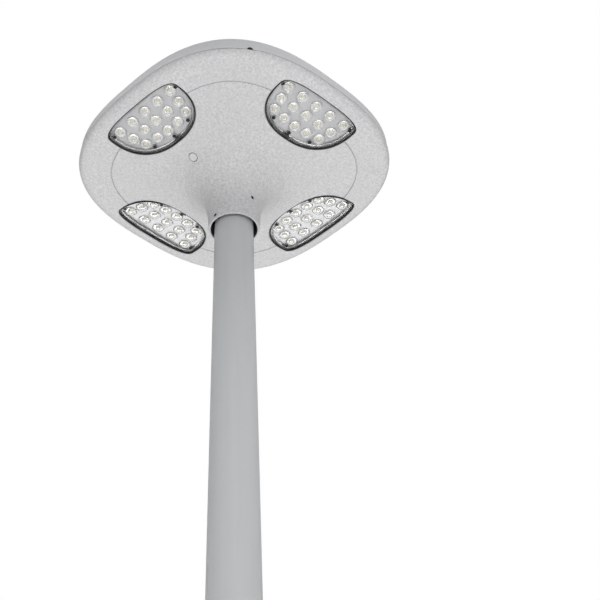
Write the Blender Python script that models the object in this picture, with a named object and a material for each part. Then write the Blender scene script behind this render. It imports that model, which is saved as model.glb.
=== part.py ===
"""Solar street lamp: a tapered pole with a four-module LED head and a solar panel on its top.

Metres, +Z up. The origin is the centre of the pole's base flange, on the ground. Lengths below are
in millimetres; MM turns them into metres. A height called a level is measured from the LED level, a
plane through the head. The pole and its flange are modelled from the ground, and every piece of the
head from the LED level, under an empty that stands on the axis the head turns about.
"""
import math

import bmesh
import bpy
from mathutils import Matrix, Vector
from mathutils.geometry import interpolate_bezier

MM = 0.001
GAP = 0.3                    # clearance kept between neighbouring solids

# Pole
LED_LEVEL = 3033.0           # height of the LED level above the ground
POLE_TOP = -33.3             # level of the pole's top end
POLE_GAUGE_LEVEL = -149.0    # level at which the pole has the gauge radius
POLE_GAUGE_RADIUS = 30.8
POLE_TAPER = 0.011           # growth of the radius per unit of height, downwards
POLE_WALL = 3.0
POLE_SIDES = 36

# Base flange
FLANGE_SIDE = 300.0
FLANGE_THICKNESS = 14.0
FLANGE_CORNER = 24.0
ANCHOR_SPACING = 220.0
ANCHOR_HOLE_RADIUS = 11.0
CABLE_HOLE_RADIUS = 40.0
RIB_HEIGHT = 95.0
RIB_REACH = 62.0
RIB_THICKNESS = 8.0
RIB_TOP_WIDTH = 14.0
RIB_TOE_HEIGHT = 12.0
RIB_SINK = 2.0               # how far a rib reaches into the plate it is welded to
CUT_PAST = 5.0               # how far a cutter runs past the faces that it cuts
BORE_SIDES = 40
CABLE_HOLE_SIDES = 32
BUTTON_HOLE_SIDES = 24
CUP_FROM, POCKET_FROM = -30.0, -25.0   # depths below the window where the pocket cutters start

# Head shell. A section is (half side, squareness exponent, level at the sides, lift at the corners).
HEAD_SIDES = 48
UNDERSIDE = [
    (39.6, 2.0, -128.3, 0.0),
    (40.3, 2.0, -122.0, 0.0),
    (41.2, 2.0, -104.0, 0.0),
    (43.2, 2.0, -88.0, 0.0),
    (47.5, 2.0, -73.0, 0.0),
    (54.5, 2.0, -59.0, 0.0),
    (64.0, 2.0, -46.5, 0.0),
    (79.0, 2.0, -33.0, 0.0),
    (95.0, 2.15, -23.5, 0.0),
    (118.0, 2.45, -15.0, 0.5),
    (146.0, 2.75, -10.0, 1.5),
    (176.0, 2.97, -6.6, 2.5),
    (205.0, 2.85, -3.0, 1.5),
    (219.0, 2.74, -0.6, 0.5),
    (226.0, 2.68, 2.2, 0.0),
    (230.2, 2.63, 6.0, 0.0),
    (231.6, 2.62, 10.0, 0.0),
]
TONGUE = [(228.4, 2.62, 10.0, 0.0), (226.7, 2.66, 18.0, 0.0)]
CAVITY_RIM = [(225.8, 2.62, 10.0, 0.0), (224.0, 2.66, 20.0, 0.0)]
SHELL_WALL = 3.0
CAVITY_FIRST_SECTION = 5     # the hollow of the shell starts at this section of the underside
SOCKET_MOUTH_RADIUS = 36.6
SOCKET_TOP_RADIUS = 33.4
SOCKET_WALL_RADIUS = 42.0
SOCKET_ROOF = 6.0
TRAY_BOSS_AT = (55.0, 50.0)
TRAY_BOSS_RADIUS = 4.5
CONTROLLER_BOSS_AT = (132.0, 116.0)
CONTROLLER_BOSS_RADIUS = 6.0
BOSS_FOOT = -60.0            # the bosses start at this level, inside the shell's wall
SHELL_SQUARENESS = 2.62      # exponent of the sections where the two shells meet

# Top cover
COVER_OUTSIDE = [
    (231.4, 2.62, 11.8, 0.0),
    (229.4, 2.67, 20.0, 0.0),
    (227.2, 2.74, 29.5, 0.0),
    (226.4, 2.77, 33.4, 0.0),
    (225.8, 2.78, 35.0, 0.0),
    (224.4, 2.78, 36.0, 0.0),
]
COVER_INSIDE = [(229.0, 2.62, 11.0, 0.0), (224.0, 2.76, 33.2, 0.0)]
COVER_GASKET = (230.6, 228.9, 10.3, 11.5)    # outer and inner half side, lower and upper level
COVER_TOP = 36.0             # level of the cover's flat top

# Solar panel and its recess in the top cover
PANEL_SIDE = 341.0
PANEL_RECESS_SIDE = 342.6
PANEL_RECESS_FLOOR = 31.0
PANEL_RECESS_WALL = 4.7
PANEL_RECESS_SHEET = 2.7
CELL_FIELD_SIDE = 318.0
PANEL_LAYERS = [             # name, side, lower and upper level, look
    ("panel_backsheet", PANEL_SIDE, 31.3, 32.1, "white"),
    ("panel_cell_sheet", CELL_FIELD_SIDE, 32.4, 32.7, "cells"),
    ("panel_glass", PANEL_SIDE, 33.0, 36.0, "glass"),
]
JUNCTION_BOX_CENTRE = (-72.0, 126.0)
JUNCTION_BOX_SIZE = (70.0, 56.0, 14.0)

# Clips that hold the panel, and the screws of the top cover
CLIP_ALONG = 104.0
CLIP_WIDTH = 24.0
CLIP_INNER = 163.0
CLIP_OUTER = 190.0
CLIP_THICKNESS = 3.0
CLIP_SCREW_AT = 181.5
COVER_SCREW_AT = (146.5, 187.5)
COVER_SCREW_LENGTH = 21.0
CLIP_SCREW_LENGTH = 9.0
BOSS_RADIUS = 5.5
BOSS_TOP = 32.9
SCREW_HOLE_RADIUS = 2.4
TAPPED_HOLE_RADIUS = 2.2
SCREW_SIDES = 10

# LED modules: the window is a D, its straight side outwards
MODULE_ANGLES = (0, 90, 180, 270)
MODULE_RADIUS = 190.0        # distance of the window's widest line from the axis
MODULE_LEVEL = -4.3
MODULE_TILT = 0.147          # rise per unit of distance from the axis
WINDOW_HALF_WIDTH = 80.3
WINDOW_INNER_REACH = 73.0
WINDOW_OUTER_REACH = 21.5
WINDOW_INNER_EXPONENT = 2.35
WINDOW_OUTER_EXPONENT = 2.8
WINDOW_SIDES = 32
POCKET_DEPTH = 12.2          # depths are measured into the head, square to the window
POCKET_FLOOR = 3.0
RIM_DEPTH = 4.4              # the lens cover's raised rim starts here
RIM_WIDTH = 4.8
PLATE_DEPTH = (7.6, 10.0)    # the lens cover's plate
BOARD_DEPTH = (10.3, 11.9)
COVER_CLEARANCE = 0.8        # the lens cover is this much smaller than the window all round
LENS_ROWS = [                # place from the window's widest line, spacing along the row, bend
    (0.0, 30.0, 0.0),
    (-23.5, 27.1, 0.17),
    (-49.0, 24.0, 1.37),
]
LENS_RADIUS = 9.3
LENS_HEIGHT = 5.4
LENS_TIP = 0.6               # radius of the lens tip as a part of the lens radius
MODULE_LEAD_AT = -61.0
LEAD_HOLE_RADIUS = 4.0

# Battery, controller, switch
CELL_RADIUS = 16.2
CELL_LENGTH = 70.0
CELL_PITCH = 33.2
CELL_LEVEL = 3.0
CELL_SPLIT = 1.5             # half the space between the two banks of cells
TERMINAL_RADIUS = 5.0
TERMINAL_HEIGHT = 2.0
TRAY_SIZE = (148.0, 138.0)
TRAY_LEVEL = -16.0
TRAY_LIP = 10.0
TRAY_SHEET = 1.5
STRAP_HALF_WIDTH = 9.0
STRAP_THICKNESS = 1.4
CONTROLLER_RADIUS = 175.0
CONTROLLER_SIZE = (50.0, 78.0, 20.0)
CONTROLLER_LEVEL = 2.0
LEAD_PORTS = {"led_lead_1": -28.0, "led_lead_4": -19.0, "battery_lead": -9.5, "switch_lead": 0.0,
              "led_lead_3": 9.5, "panel_lead": 19.0, "led_lead_2": 28.0}
LEAD_RADIUS = 2.0
LEAD_STUB = 3.0              # straight length at each end of a lead
LEAD_STEP = 14.0             # distance between the points of a lead
PORT_HEIGHT = 10.0           # height of the lead ports above the controller's foot
BUTTON_DISTANCE = 88.0
BUTTON_LEVEL = -27.7
BUTTON_SLOPE = 0.594         # rise of the shell per unit of distance from the axis, at the button
BUTTON_RADIUS = 6.9
BUTTON_HOLE_RADIUS = 7.9
BUTTON_PROFILE = [           # (radius, depth behind the shell's face)
    (BUTTON_RADIUS - 0.8, -0.1), (BUTTON_RADIUS, 0.6), (BUTTON_RADIUS, 4.0), (2.8, 4.0), (2.8, 11.5),
]
SWITCH_PROFILE = [           # a socket around the button's stem, its flange behind the shell
    (8.1, 3.6), (11.0, 3.6), (11.0, 6.0), (9.2, 6.0), (9.2, 15.0), (3.4, 15.0), (3.4, 8.0), (8.1, 8.0),
]
SWITCH_DEPTH = 15.0

# Set screws in the collar: (angle, level, collar radius there)
SET_SCREWS = [(0, -121.5, 40.3), (180, -121.5, 40.3), (90, -88.0, 43.2), (270, -88.0, 43.2)]
SET_SCREW_RADIUS = 2.9
SET_SCREW_HOLE_RADIUS = 3.2
SET_SCREW_SINK = 0.6         # how far its end lies below the collar's face
HEX_SOCKET_RADIUS = 1.7
HEX_SOCKET_DEPTH = 3.0

# Drain plug in the lower edge of the cover's skirt
DRAIN_AT = (-152.0, -201.0)
DRAIN_RADIUS = 4.4
DRAIN_DEPTH = (-5.6, -2.4)   # the plug's two faces, measured outwards from that place


# ---------------------------------------------------------------- scene and materials

def clear_scene():
    for old in list(bpy.data.objects):
        bpy.data.objects.remove(old, do_unlink=True)


def material(name, colour, roughness, metallic=0.0, alpha=1.0):
    made = bpy.data.materials.new(name)
    made.use_nodes = True
    shader = made.node_tree.nodes["Principled BSDF"]
    shader.inputs["Base Color"].default_value = (*colour, 1.0)
    shader.inputs["Roughness"].default_value = roughness
    shader.inputs["Metallic"].default_value = metallic
    shader.inputs["Alpha"].default_value = alpha
    return made


# ---------------------------------------------------------------- mesh helpers

def add_object(name, mesh_builder, look=None, place=None, sharp_angle=35.0):
    """An object from a mesh in millimetres; place is its frame, which a moving piece has on its axis."""
    mesh = bpy.data.meshes.new(name)
    bmesh.ops.recalc_face_normals(mesh_builder, faces=mesh_builder.faces)
    bmesh.ops.scale(mesh_builder, vec=(MM, MM, MM), verts=mesh_builder.verts)
    mesh_builder.to_mesh(mesh)
    mesh_builder.free()
    mesh.shade_smooth()
    mesh.set_sharp_from_angle(angle=math.radians(sharp_angle))
    made = bpy.data.objects.new(name, mesh)
    bpy.context.collection.objects.link(made)
    if place:
        made.matrix_basis = Matrix.Translation(place.translation * MM) @ place.to_3x3().to_4x4()
    if look:
        mesh.materials.append(look)
    return made


def add_cutter(name, mesh_builder, place=None):
    made = add_object(name, mesh_builder, place=place)
    made.hide_render = True
    made.display_type = "WIRE"
    return made


def apply_boolean(target, operation, tool):
    step = target.modifiers.new(tool.name, "BOOLEAN")
    step.operation = operation
    step.solver = "EXACT"
    step.object = tool


def bridge_rings(builder, rings, closed_loop=False):
    """Joins rings of equally many points with quads; caps both ends, or joins last to first."""
    vertex_rings = [[builder.verts.new(point) for point in ring] for ring in rings]
    pairs = list(zip(vertex_rings, vertex_rings[1:]))
    if closed_loop:
        pairs.append((vertex_rings[-1], vertex_rings[0]))
    else:
        builder.faces.new(vertex_rings[0])
        builder.faces.new(list(reversed(vertex_rings[-1])))
    for lower, upper in pairs:
        count = len(lower)
        for i in range(count):
            j = (i + 1) % count
            builder.faces.new((lower[j], lower[i], upper[i], upper[j]))


def turned(builder, profile, sides, place=None, closed_loop=False):
    """A turned solid from (radius, height) points, about +Z of the given place."""
    place = place or Matrix.Identity(4)
    rings = []
    for radius, height in profile:
        ring = []
        for i in range(sides):
            angle = 2 * math.pi * (i + 0.5) / sides
            ring.append(place @ Vector((radius * math.cos(angle), radius * math.sin(angle), height)))
        rings.append(ring)
    bridge_rings(builder, rings, closed_loop)


def four_corners(x, y):
    return [(sx * x, sy * y) for sx, sy in ((1, 1), (-1, 1), (-1, -1), (1, -1))]


def drill(builder, places, radius, low, high, sides=SCREW_SIDES):
    """A round upright column at each (x, y) place."""
    for x, y in places:
        turned(builder, [(radius, low), (radius, high)], sides, Matrix.Translation((x, y, 0)))


def prism(builder, outline, low, high, place=None):
    """A solid of the outline between two heights along +Z of the given place."""
    place = place or Matrix.Identity(4)
    rings = [[place @ Vector((x, y, z)) for x, y in outline] for z in (low, high)]
    bridge_rings(builder, rings)


def stacked(builder, outlines, closed_loop=False):
    """A solid through (outline, height) pairs; a closed loop of them has a hole through it."""
    rings = [[Vector((x, y, z)) for x, y in outline] for outline, z in outlines]
    bridge_rings(builder, rings, closed_loop)


def rectangle(width, depth, corner=0.0, centre=(0.0, 0.0), steps=3):
    """Outline of a rectangle, its corners rounded if a corner radius is given."""
    points = []
    for quarter, (sx, sy) in enumerate(((1, 1), (-1, 1), (-1, -1), (1, -1))):
        cx = centre[0] + sx * (width / 2 - corner)
        cy = centre[1] + sy * (depth / 2 - corner)
        turns = range(steps + 1) if corner else range(1)
        for step in turns:
            angle = math.radians(90 * quarter + 90 * step / steps)
            points.append((cx + corner * math.cos(angle), cy + corner * math.sin(angle)))
    return points


def section_ring(section):
    """Points of one rounded-square section of the head."""
    half_side, exponent, side_level, corner_lift = section
    corner_stretch = 2 ** (0.5 - 1 / exponent) - 1
    ring = []
    for i in range(HEAD_SIDES):
        angle = 2 * math.pi * i / HEAD_SIDES
        cosine, sine = math.cos(angle), math.sin(angle)
        stretch = (abs(cosine) ** exponent + abs(sine) ** exponent) ** (-1 / exponent)
        lift = corner_lift * (stretch - 1) / corner_stretch if corner_stretch > 1e-6 else 0.0
        radius = half_side * stretch
        ring.append((radius * cosine, radius * sine, side_level + lift))
    return ring


def shell_offset(sections, wall):
    """The same sections, moved inwards by the wall thickness, square to their profile."""
    moved = []
    for i, (half_side, exponent, side_level, lift) in enumerate(sections):
        before = sections[max(i - 1, 0)]
        after = sections[min(i + 1, len(sections) - 1)]
        across, up = after[0] - before[0], after[2] - before[2]
        length = math.hypot(across, up)
        moved.append((half_side - wall * up / length, exponent, side_level + wall * across / length, lift))
    return moved


def window_outline(shrink=0.0):
    """The D of an LED window, made smaller all round by shrink; x points away from the axis."""
    points = []
    for i in range(WINDOW_SIDES):
        angle = 2 * math.pi * i / WINDOW_SIDES
        outward = math.cos(angle) >= 0
        reach = (WINDOW_OUTER_REACH if outward else WINDOW_INNER_REACH) - shrink
        exponent = WINDOW_OUTER_EXPONENT if outward else WINDOW_INNER_EXPONENT
        x = reach * math.copysign(abs(math.cos(angle)) ** (2 / exponent), math.cos(angle))
        width = WINDOW_HALF_WIDTH - shrink
        y = width * math.copysign(abs(math.sin(angle)) ** (2 / exponent), math.sin(angle))
        points.append((x, y))
    return points


def module_place(angle):
    """Frame of a module: +X away from the pole, +Z into the head, square to the tilted window."""
    return (Matrix.Rotation(math.radians(angle), 4, "Z")
            @ Matrix.Translation((MODULE_RADIUS, 0, MODULE_LEVEL))
            @ Matrix.Rotation(-math.atan(MODULE_TILT), 4, "Y"))


def place_along(origin, direction):
    """A frame at origin whose +Z points along direction."""
    return Matrix.Translation(origin) @ Vector(direction).to_track_quat("Z", "Y").to_matrix().to_4x4()


# ---------------------------------------------------------------- pole

def pole_radius(at_level):
    return POLE_GAUGE_RADIUS + POLE_TAPER * (POLE_GAUGE_LEVEL - at_level)


def make_pole(paint):
    foot, top = FLANGE_THICKNESS + GAP, LED_LEVEL + POLE_TOP
    foot_radius, top_radius = pole_radius(foot - LED_LEVEL), pole_radius(POLE_TOP)
    profile = [(foot_radius, foot), (top_radius, top),
               (top_radius - POLE_WALL, top), (foot_radius - POLE_WALL, foot)]
    builder = bmesh.new()
    turned(builder, profile, POLE_SIDES, closed_loop=True)
    return add_object("pole_shaft", builder, paint)


def make_base_flange(paint):
    builder = bmesh.new()
    prism(builder, rectangle(FLANGE_SIDE, FLANGE_SIDE, FLANGE_CORNER), 0, FLANGE_THICKNESS)
    flange = add_object("base_flange", builder, paint)

    inner_low = pole_radius(FLANGE_THICKNESS - LED_LEVEL) + 2 * GAP
    inner_high = inner_low - POLE_TAPER * RIB_HEIGHT
    outer = inner_low + RIB_REACH
    foot, top = FLANGE_THICKNESS - RIB_SINK, FLANGE_THICKNESS + RIB_HEIGHT
    side = [(inner_low, foot), (outer, foot), (outer, FLANGE_THICKNESS + RIB_TOE_HEIGHT),
            (inner_high + RIB_TOP_WIDTH, top), (inner_high, top)]
    ribs = bmesh.new()
    for angle in (45, 135, 225, 315):
        turn = Matrix.Rotation(math.radians(angle), 4, "Z")
        bridge_rings(ribs, [[turn @ Vector((x, y, z)) for x, z in side]
                            for y in (-RIB_THICKNESS / 2, RIB_THICKNESS / 2)])
    apply_boolean(flange, "UNION", add_cutter("cut_ribs", ribs))

    holes = bmesh.new()
    drill(holes, [(0, 0)], CABLE_HOLE_RADIUS, -CUT_PAST, FLANGE_THICKNESS + CUT_PAST,
          CABLE_HOLE_SIDES)
    anchors = four_corners(ANCHOR_SPACING / 2, ANCHOR_SPACING / 2)
    drill(holes, anchors, ANCHOR_HOLE_RADIUS, -CUT_PAST, FLANGE_THICKNESS + CUT_PAST, 16)
    apply_boolean(flange, "DIFFERENCE", add_cutter("cut_anchor_holes", holes))
    return flange


# ---------------------------------------------------------------- head shell

def cover_screw_places():
    return four_corners(*COVER_SCREW_AT)


def clip_screw_places():
    return four_corners(CLIP_ALONG, CLIP_SCREW_AT)


def button_place():
    """Frame of the power button: +Z out of the head, the origin on the shell's outer face."""
    outward = Vector((-BUTTON_SLOPE, 0, -1)).normalized()
    return place_along((-BUTTON_DISTANCE, 0, BUTTON_LEVEL), outward)


def set_screw_place(angle, at_level):
    turn = math.radians(angle)
    return place_along((0, 0, at_level), (math.cos(turn), math.sin(turn), 0))


def make_lower_housing(paint):
    outside = bmesh.new()
    bridge_rings(outside, [section_ring(s) for s in UNDERSIDE + TONGUE])
    housing = add_object("lower_housing", outside, paint)

    inner_sections = shell_offset(UNDERSIDE, SHELL_WALL)[CAVITY_FIRST_SECTION:-2]
    cavity_builder = bmesh.new()
    bridge_rings(cavity_builder, [section_ring(s) for s in inner_sections + CAVITY_RIM])
    cavity = add_cutter("cut_cavity", cavity_builder)

    kept = bmesh.new()
    drill(kept, [(0, 0)], SOCKET_WALL_RADIUS, 2 * BOSS_FOOT, POLE_TOP + GAP + SOCKET_ROOF, BORE_SIDES)
    drill(kept, cover_screw_places(), BOSS_RADIUS, BOSS_FOOT, BOSS_TOP)
    drill(kept, four_corners(*TRAY_BOSS_AT), TRAY_BOSS_RADIUS, BOSS_FOOT, TRAY_LEVEL - GAP)
    drill(kept, [CONTROLLER_BOSS_AT, CONTROLLER_BOSS_AT[::-1]], CONTROLLER_BOSS_RADIUS, BOSS_FOOT,
          CONTROLLER_LEVEL - GAP)
    apply_boolean(cavity, "DIFFERENCE", add_cutter("cut_kept_bosses", kept))

    cups = bmesh.new()
    for angle in MODULE_ANGLES:
        prism(cups, window_outline(-SHELL_WALL), CUP_FROM, POCKET_DEPTH + POCKET_FLOOR, module_place(angle))
    apply_boolean(cavity, "DIFFERENCE", add_cutter("cut_kept_cups", cups))
    apply_boolean(housing, "DIFFERENCE", cavity)

    pockets = bmesh.new()
    for angle in MODULE_ANGLES:
        prism(pockets, window_outline(), POCKET_FROM, POCKET_DEPTH, module_place(angle))
    apply_boolean(housing, "DIFFERENCE", add_cutter("cut_pockets", pockets))

    mouth = UNDERSIDE[0][2]
    bore = bmesh.new()
    turned(bore, [(SOCKET_MOUTH_RADIUS, mouth - CUT_PAST), (SOCKET_MOUTH_RADIUS, mouth),
                  (SOCKET_TOP_RADIUS, POLE_TOP + GAP)], BORE_SIDES)
    apply_boolean(housing, "DIFFERENCE", add_cutter("cut_bore", bore))

    holes = bmesh.new()
    for angle in MODULE_ANGLES:
        place = module_place(angle) @ Matrix.Translation((MODULE_LEAD_AT, 0, 0))
        turned(holes, [(LEAD_HOLE_RADIUS, POCKET_DEPTH - CUT_PAST),
                       (LEAD_HOLE_RADIUS, POCKET_DEPTH + POCKET_FLOOR + CUT_PAST)], SCREW_SIDES, place)
    turned(holes, [(BUTTON_HOLE_RADIUS, -CUT_PAST), (BUTTON_HOLE_RADIUS, CUT_PAST)], BUTTON_HOLE_SIDES,
           button_place())
    for angle, at_level, radius in SET_SCREWS:
        turned(holes, [(SET_SCREW_HOLE_RADIUS, SOCKET_TOP_RADIUS),
                       (SET_SCREW_HOLE_RADIUS, radius + CUT_PAST)],
               SCREW_SIDES, set_screw_place(angle, at_level))
    drill(holes, cover_screw_places(), TAPPED_HOLE_RADIUS, BOSS_TOP - COVER_SCREW_LENGTH, 2 * BOSS_TOP)
    apply_boolean(housing, "DIFFERENCE", add_cutter("cut_housing_holes", holes))
    return housing


def make_top_cover(paint):
    outside = bmesh.new()
    bridge_rings(outside, [section_ring(s) for s in COVER_OUTSIDE])
    cover = add_object("top_cover", outside, paint)

    inside = bmesh.new()
    bridge_rings(inside, [section_ring(s) for s in COVER_INSIDE])
    hollow = add_cutter("cut_cover_hollow", inside)
    kept = bmesh.new()
    side = PANEL_RECESS_SIDE + 2 * PANEL_RECESS_WALL
    prism(kept, rectangle(side, side), PANEL_RECESS_FLOOR - PANEL_RECESS_SHEET, 2 * COVER_TOP)
    apply_boolean(hollow, "DIFFERENCE", add_cutter("cut_kept_recess", kept))
    apply_boolean(cover, "DIFFERENCE", hollow)

    cuts = bmesh.new()
    recess = rectangle(PANEL_RECESS_SIDE, PANEL_RECESS_SIDE)
    prism(cuts, recess, PANEL_RECESS_FLOOR, 2 * COVER_TOP)
    apply_boolean(cover, "DIFFERENCE", add_cutter("cut_recess", cuts))

    holes = bmesh.new()
    width, depth, _ = JUNCTION_BOX_SIZE
    prism(holes, rectangle(width + 2, depth + 2, centre=JUNCTION_BOX_CENTRE),
          PANEL_RECESS_FLOOR - 2 * CUT_PAST, PANEL_RECESS_FLOOR + CUT_PAST / 2)
    drill(holes, cover_screw_places() + clip_screw_places(), SCREW_HOLE_RADIUS,
          COVER_TOP - 2 * CUT_PAST, COVER_TOP + CUT_PAST)
    turned(holes, [(DRAIN_RADIUS + GAP, -3 * CUT_PAST), (DRAIN_RADIUS + GAP, 2 * CUT_PAST)], 16,
           drain_place())
    apply_boolean(cover, "DIFFERENCE", add_cutter("cut_cover_holes", holes))
    return cover


def make_cover_gasket(rubber):
    outer, inner, low, high = COVER_GASKET
    builder = bmesh.new()
    bridge_rings(builder, [section_ring((half_side, SHELL_SQUARENESS, height, 0)) for half_side, height
                           in ((outer, low), (outer, high), (inner, high), (inner, low))], closed_loop=True)
    return add_object("cover_gasket", builder, rubber)


def drain_place():
    """Frame at the skirt's lower edge whose +Z points out of the head."""
    x, y = DRAIN_AT
    return place_along((x, y, COVER_OUTSIDE[0][2]), (x, y, 0))


def make_drain_plug(rubber):
    """A half-round plug, its flat side down and level with the skirt's edge."""
    place = drain_place()
    up = place.to_3x3().inverted() @ Vector((0, 0, 1))
    across = up.cross((0, 0, 1))
    arc = []
    for step in range(9):
        turn = math.pi * step / 8
        arc.append(DRAIN_RADIUS * (across * math.cos(turn) + up * math.sin(turn)))
    builder = bmesh.new()
    bridge_rings(builder, [[place @ (point + Vector((0, 0, depth))) for point in arc]
                           for depth in DRAIN_DEPTH])
    return add_object("rim_drain_plug", builder, rubber)


# ---------------------------------------------------------------- LED modules

def lens_centres():
    """Middles of the fifteen lenses: three rows of five, the inner rows bent away from the axis."""
    return [(x + bend * step * step, step * spacing)
            for x, spacing, bend in LENS_ROWS for step in (-2, -1, 0, 1, 2)]


def make_module(number, angle, looks):
    place = module_place(angle)
    low, high = BOARD_DEPTH
    board = bmesh.new()
    prism(board, window_outline(4.2), low, high)
    add_object(f"led_board_{number}", board, looks["board"], place)

    seal_outer, seal_inner = window_outline(0.5), window_outline(3.8)
    seal = bmesh.new()
    stacked(seal, [(seal_outer, low), (seal_outer, high), (seal_inner, high), (seal_inner, low)],
            closed_loop=True)
    add_object(f"module_gasket_{number}", seal, looks["rubber"], place)

    outer, inner = window_outline(COVER_CLEARANCE), window_outline(COVER_CLEARANCE + RIM_WIDTH)
    plate_low, plate_high = PLATE_DEPTH
    cover = bmesh.new()
    stacked(cover, [(outer, plate_high), (outer, RIM_DEPTH), (inner, RIM_DEPTH), (inner, plate_low)])
    lens_cover = add_object(f"lens_cover_{number}", cover, looks["clear"], place)
    dome = [(LENS_RADIUS, (plate_low + plate_high) / 2), (LENS_RADIUS, plate_low - 0.6),
            (LENS_RADIUS * LENS_TIP, plate_low - LENS_HEIGHT)]
    domes = bmesh.new()
    for x, y in lens_centres():
        turned(domes, dome, 8, Matrix.Translation((x, y, 0)))
    apply_boolean(lens_cover, "UNION", add_cutter(f"cut_domes_{number}", domes, place))


# ---------------------------------------------------------------- panel

def make_panel(looks):
    for name, side, low, high, look in PANEL_LAYERS:
        builder = bmesh.new()
        prism(builder, rectangle(side, side), low, high)
        add_object(name, builder, looks[look])

    width, depth, height = JUNCTION_BOX_SIZE
    builder = bmesh.new()
    prism(builder, rectangle(width, depth, 5.0, JUNCTION_BOX_CENTRE), PANEL_RECESS_FLOOR - height,
          PANEL_RECESS_FLOOR)
    add_object("junction_box", builder, looks["black"])


def screw(name, seat, shank_length, look, head_radius=4.2, shank_radius=1.9):
    """An upright pan-head screw whose head stands on seat, a point."""
    profile = [(shank_radius * 0.6, -shank_length), (shank_radius, -shank_length + 1.5),
               (shank_radius, 0), (head_radius, 0), (head_radius, 1.4), (head_radius * 0.72, 2.4)]
    builder = bmesh.new()
    turned(builder, profile, SCREW_SIDES)
    return add_object(name, builder, look, Matrix.Translation(seat))


def make_clips(looks):
    low = COVER_TOP + GAP
    high = low + CLIP_THICKNESS
    for number, (x, y) in enumerate(clip_screw_places(), start=1):
        middle = math.copysign((CLIP_INNER + CLIP_OUTER) / 2, y)
        builder = bmesh.new()
        prism(builder, rectangle(CLIP_WIDTH, CLIP_OUTER - CLIP_INNER, 3.0, (x, middle)), low, high)
        clip = add_object(f"panel_clip_{number}", builder, looks["clip"])
        hole = bmesh.new()
        drill(hole, [(x, y)], SCREW_HOLE_RADIUS, low - CUT_PAST, high + CUT_PAST)
        apply_boolean(clip, "DIFFERENCE", add_cutter(f"cut_clip_hole_{number}", hole))
        screw(f"clip_screw_{number}", (x, y, high + GAP), CLIP_SCREW_LENGTH, looks["zinc"], head_radius=3.6)
    for number, (x, y) in enumerate(cover_screw_places(), start=1):
        screw(f"cover_screw_{number}", (x, y, low), COVER_SCREW_LENGTH, looks["zinc"])


# ---------------------------------------------------------------- battery, controller, switch, leads

def make_battery(looks):
    number = 0
    for side in (-1, 1):
        for row in (-1.5, -0.5, 0.5, 1.5):
            number += 1
            place = place_along((side * CELL_SPLIT, row * CELL_PITCH, CELL_LEVEL), (side, 0, 0))
            shoulder = CELL_LENGTH - TERMINAL_HEIGHT
            profile = [(CELL_RADIUS, 0), (CELL_RADIUS, shoulder), (TERMINAL_RADIUS, shoulder),
                       (TERMINAL_RADIUS, CELL_LENGTH)]
            builder = bmesh.new()
            turned(builder, profile, 16)
            add_object(f"battery_cell_{number}", builder, looks["cell_wrap"], place)

    width, depth = TRAY_SIZE
    outer = rectangle(width, depth, 2 * TRAY_SHEET)
    inner = rectangle(width - 2 * TRAY_SHEET, depth - 2 * TRAY_SHEET, TRAY_SHEET)
    base, brim = TRAY_LEVEL, TRAY_LEVEL + TRAY_LIP
    builder = bmesh.new()
    stacked(builder, [(outer, base), (outer, brim), (inner, brim), (inner, base + TRAY_SHEET)])
    add_object("battery_tray", builder, looks["zinc"])

    # A band over the middle of the cells, its feet standing outside the tray's lips.
    inside, outside = depth / 2 + GAP, depth / 2 + GAP + STRAP_THICKNESS
    under, top = CELL_LEVEL + CELL_RADIUS + GAP, CELL_LEVEL + CELL_RADIUS + GAP + STRAP_THICKNESS
    side_view = [(-outside, base), (-inside, base), (-inside, under), (inside, under), (inside, base),
                 (outside, base), (outside, top), (-outside, top)]
    builder = bmesh.new()
    bridge_rings(builder, [[Vector((x, y, z)) for y, z in side_view]
                           for x in (-STRAP_HALF_WIDTH, STRAP_HALF_WIDTH)])
    add_object("battery_strap", builder, looks["zinc"])


def controller_place():
    return (Matrix.Rotation(math.radians(45), 4, "Z")
            @ Matrix.Translation((CONTROLLER_RADIUS, 0, CONTROLLER_LEVEL)))


def make_controller(looks):
    depth, width, height = CONTROLLER_SIZE
    builder = bmesh.new()
    prism(builder, rectangle(depth, width, 3.0), 0, height)
    add_object("charge_controller", builder, looks["dark"], controller_place())


def make_switch(looks):
    """The switch and its button; the button's origin lies on the line that it is pressed along."""
    inward = button_place() @ Matrix.Rotation(math.pi, 4, "X")
    builder = bmesh.new()
    turned(builder, SWITCH_PROFILE, 16, closed_loop=True)
    add_object("switch_body", builder, looks["black"], inward)

    builder = bmesh.new()
    turned(builder, BUTTON_PROFILE, 16)
    add_object("power_button", builder, looks["button"], inward)


def make_set_screws(looks):
    """Cone-point screws that clamp the pole; each origin lies on the line that its screw travels."""
    for number, (angle, at_level, radius) in enumerate(SET_SCREWS, start=1):
        start = pole_radius(at_level) + GAP
        length = radius - SET_SCREW_SINK - start
        profile = [(SET_SCREW_RADIUS / 2, 0), (SET_SCREW_RADIUS, SET_SCREW_RADIUS / 2),
                   (SET_SCREW_RADIUS, length), (HEX_SOCKET_RADIUS, length),
                   (HEX_SOCKET_RADIUS, length - HEX_SOCKET_DEPTH)]
        builder = bmesh.new()
        turned(builder, profile, SCREW_SIDES)
        place = set_screw_place(angle, at_level) @ Matrix.Translation((0, 0, start))
        add_object(f"set_screw_{number}", builder, looks["dark_steel"], place)


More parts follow.
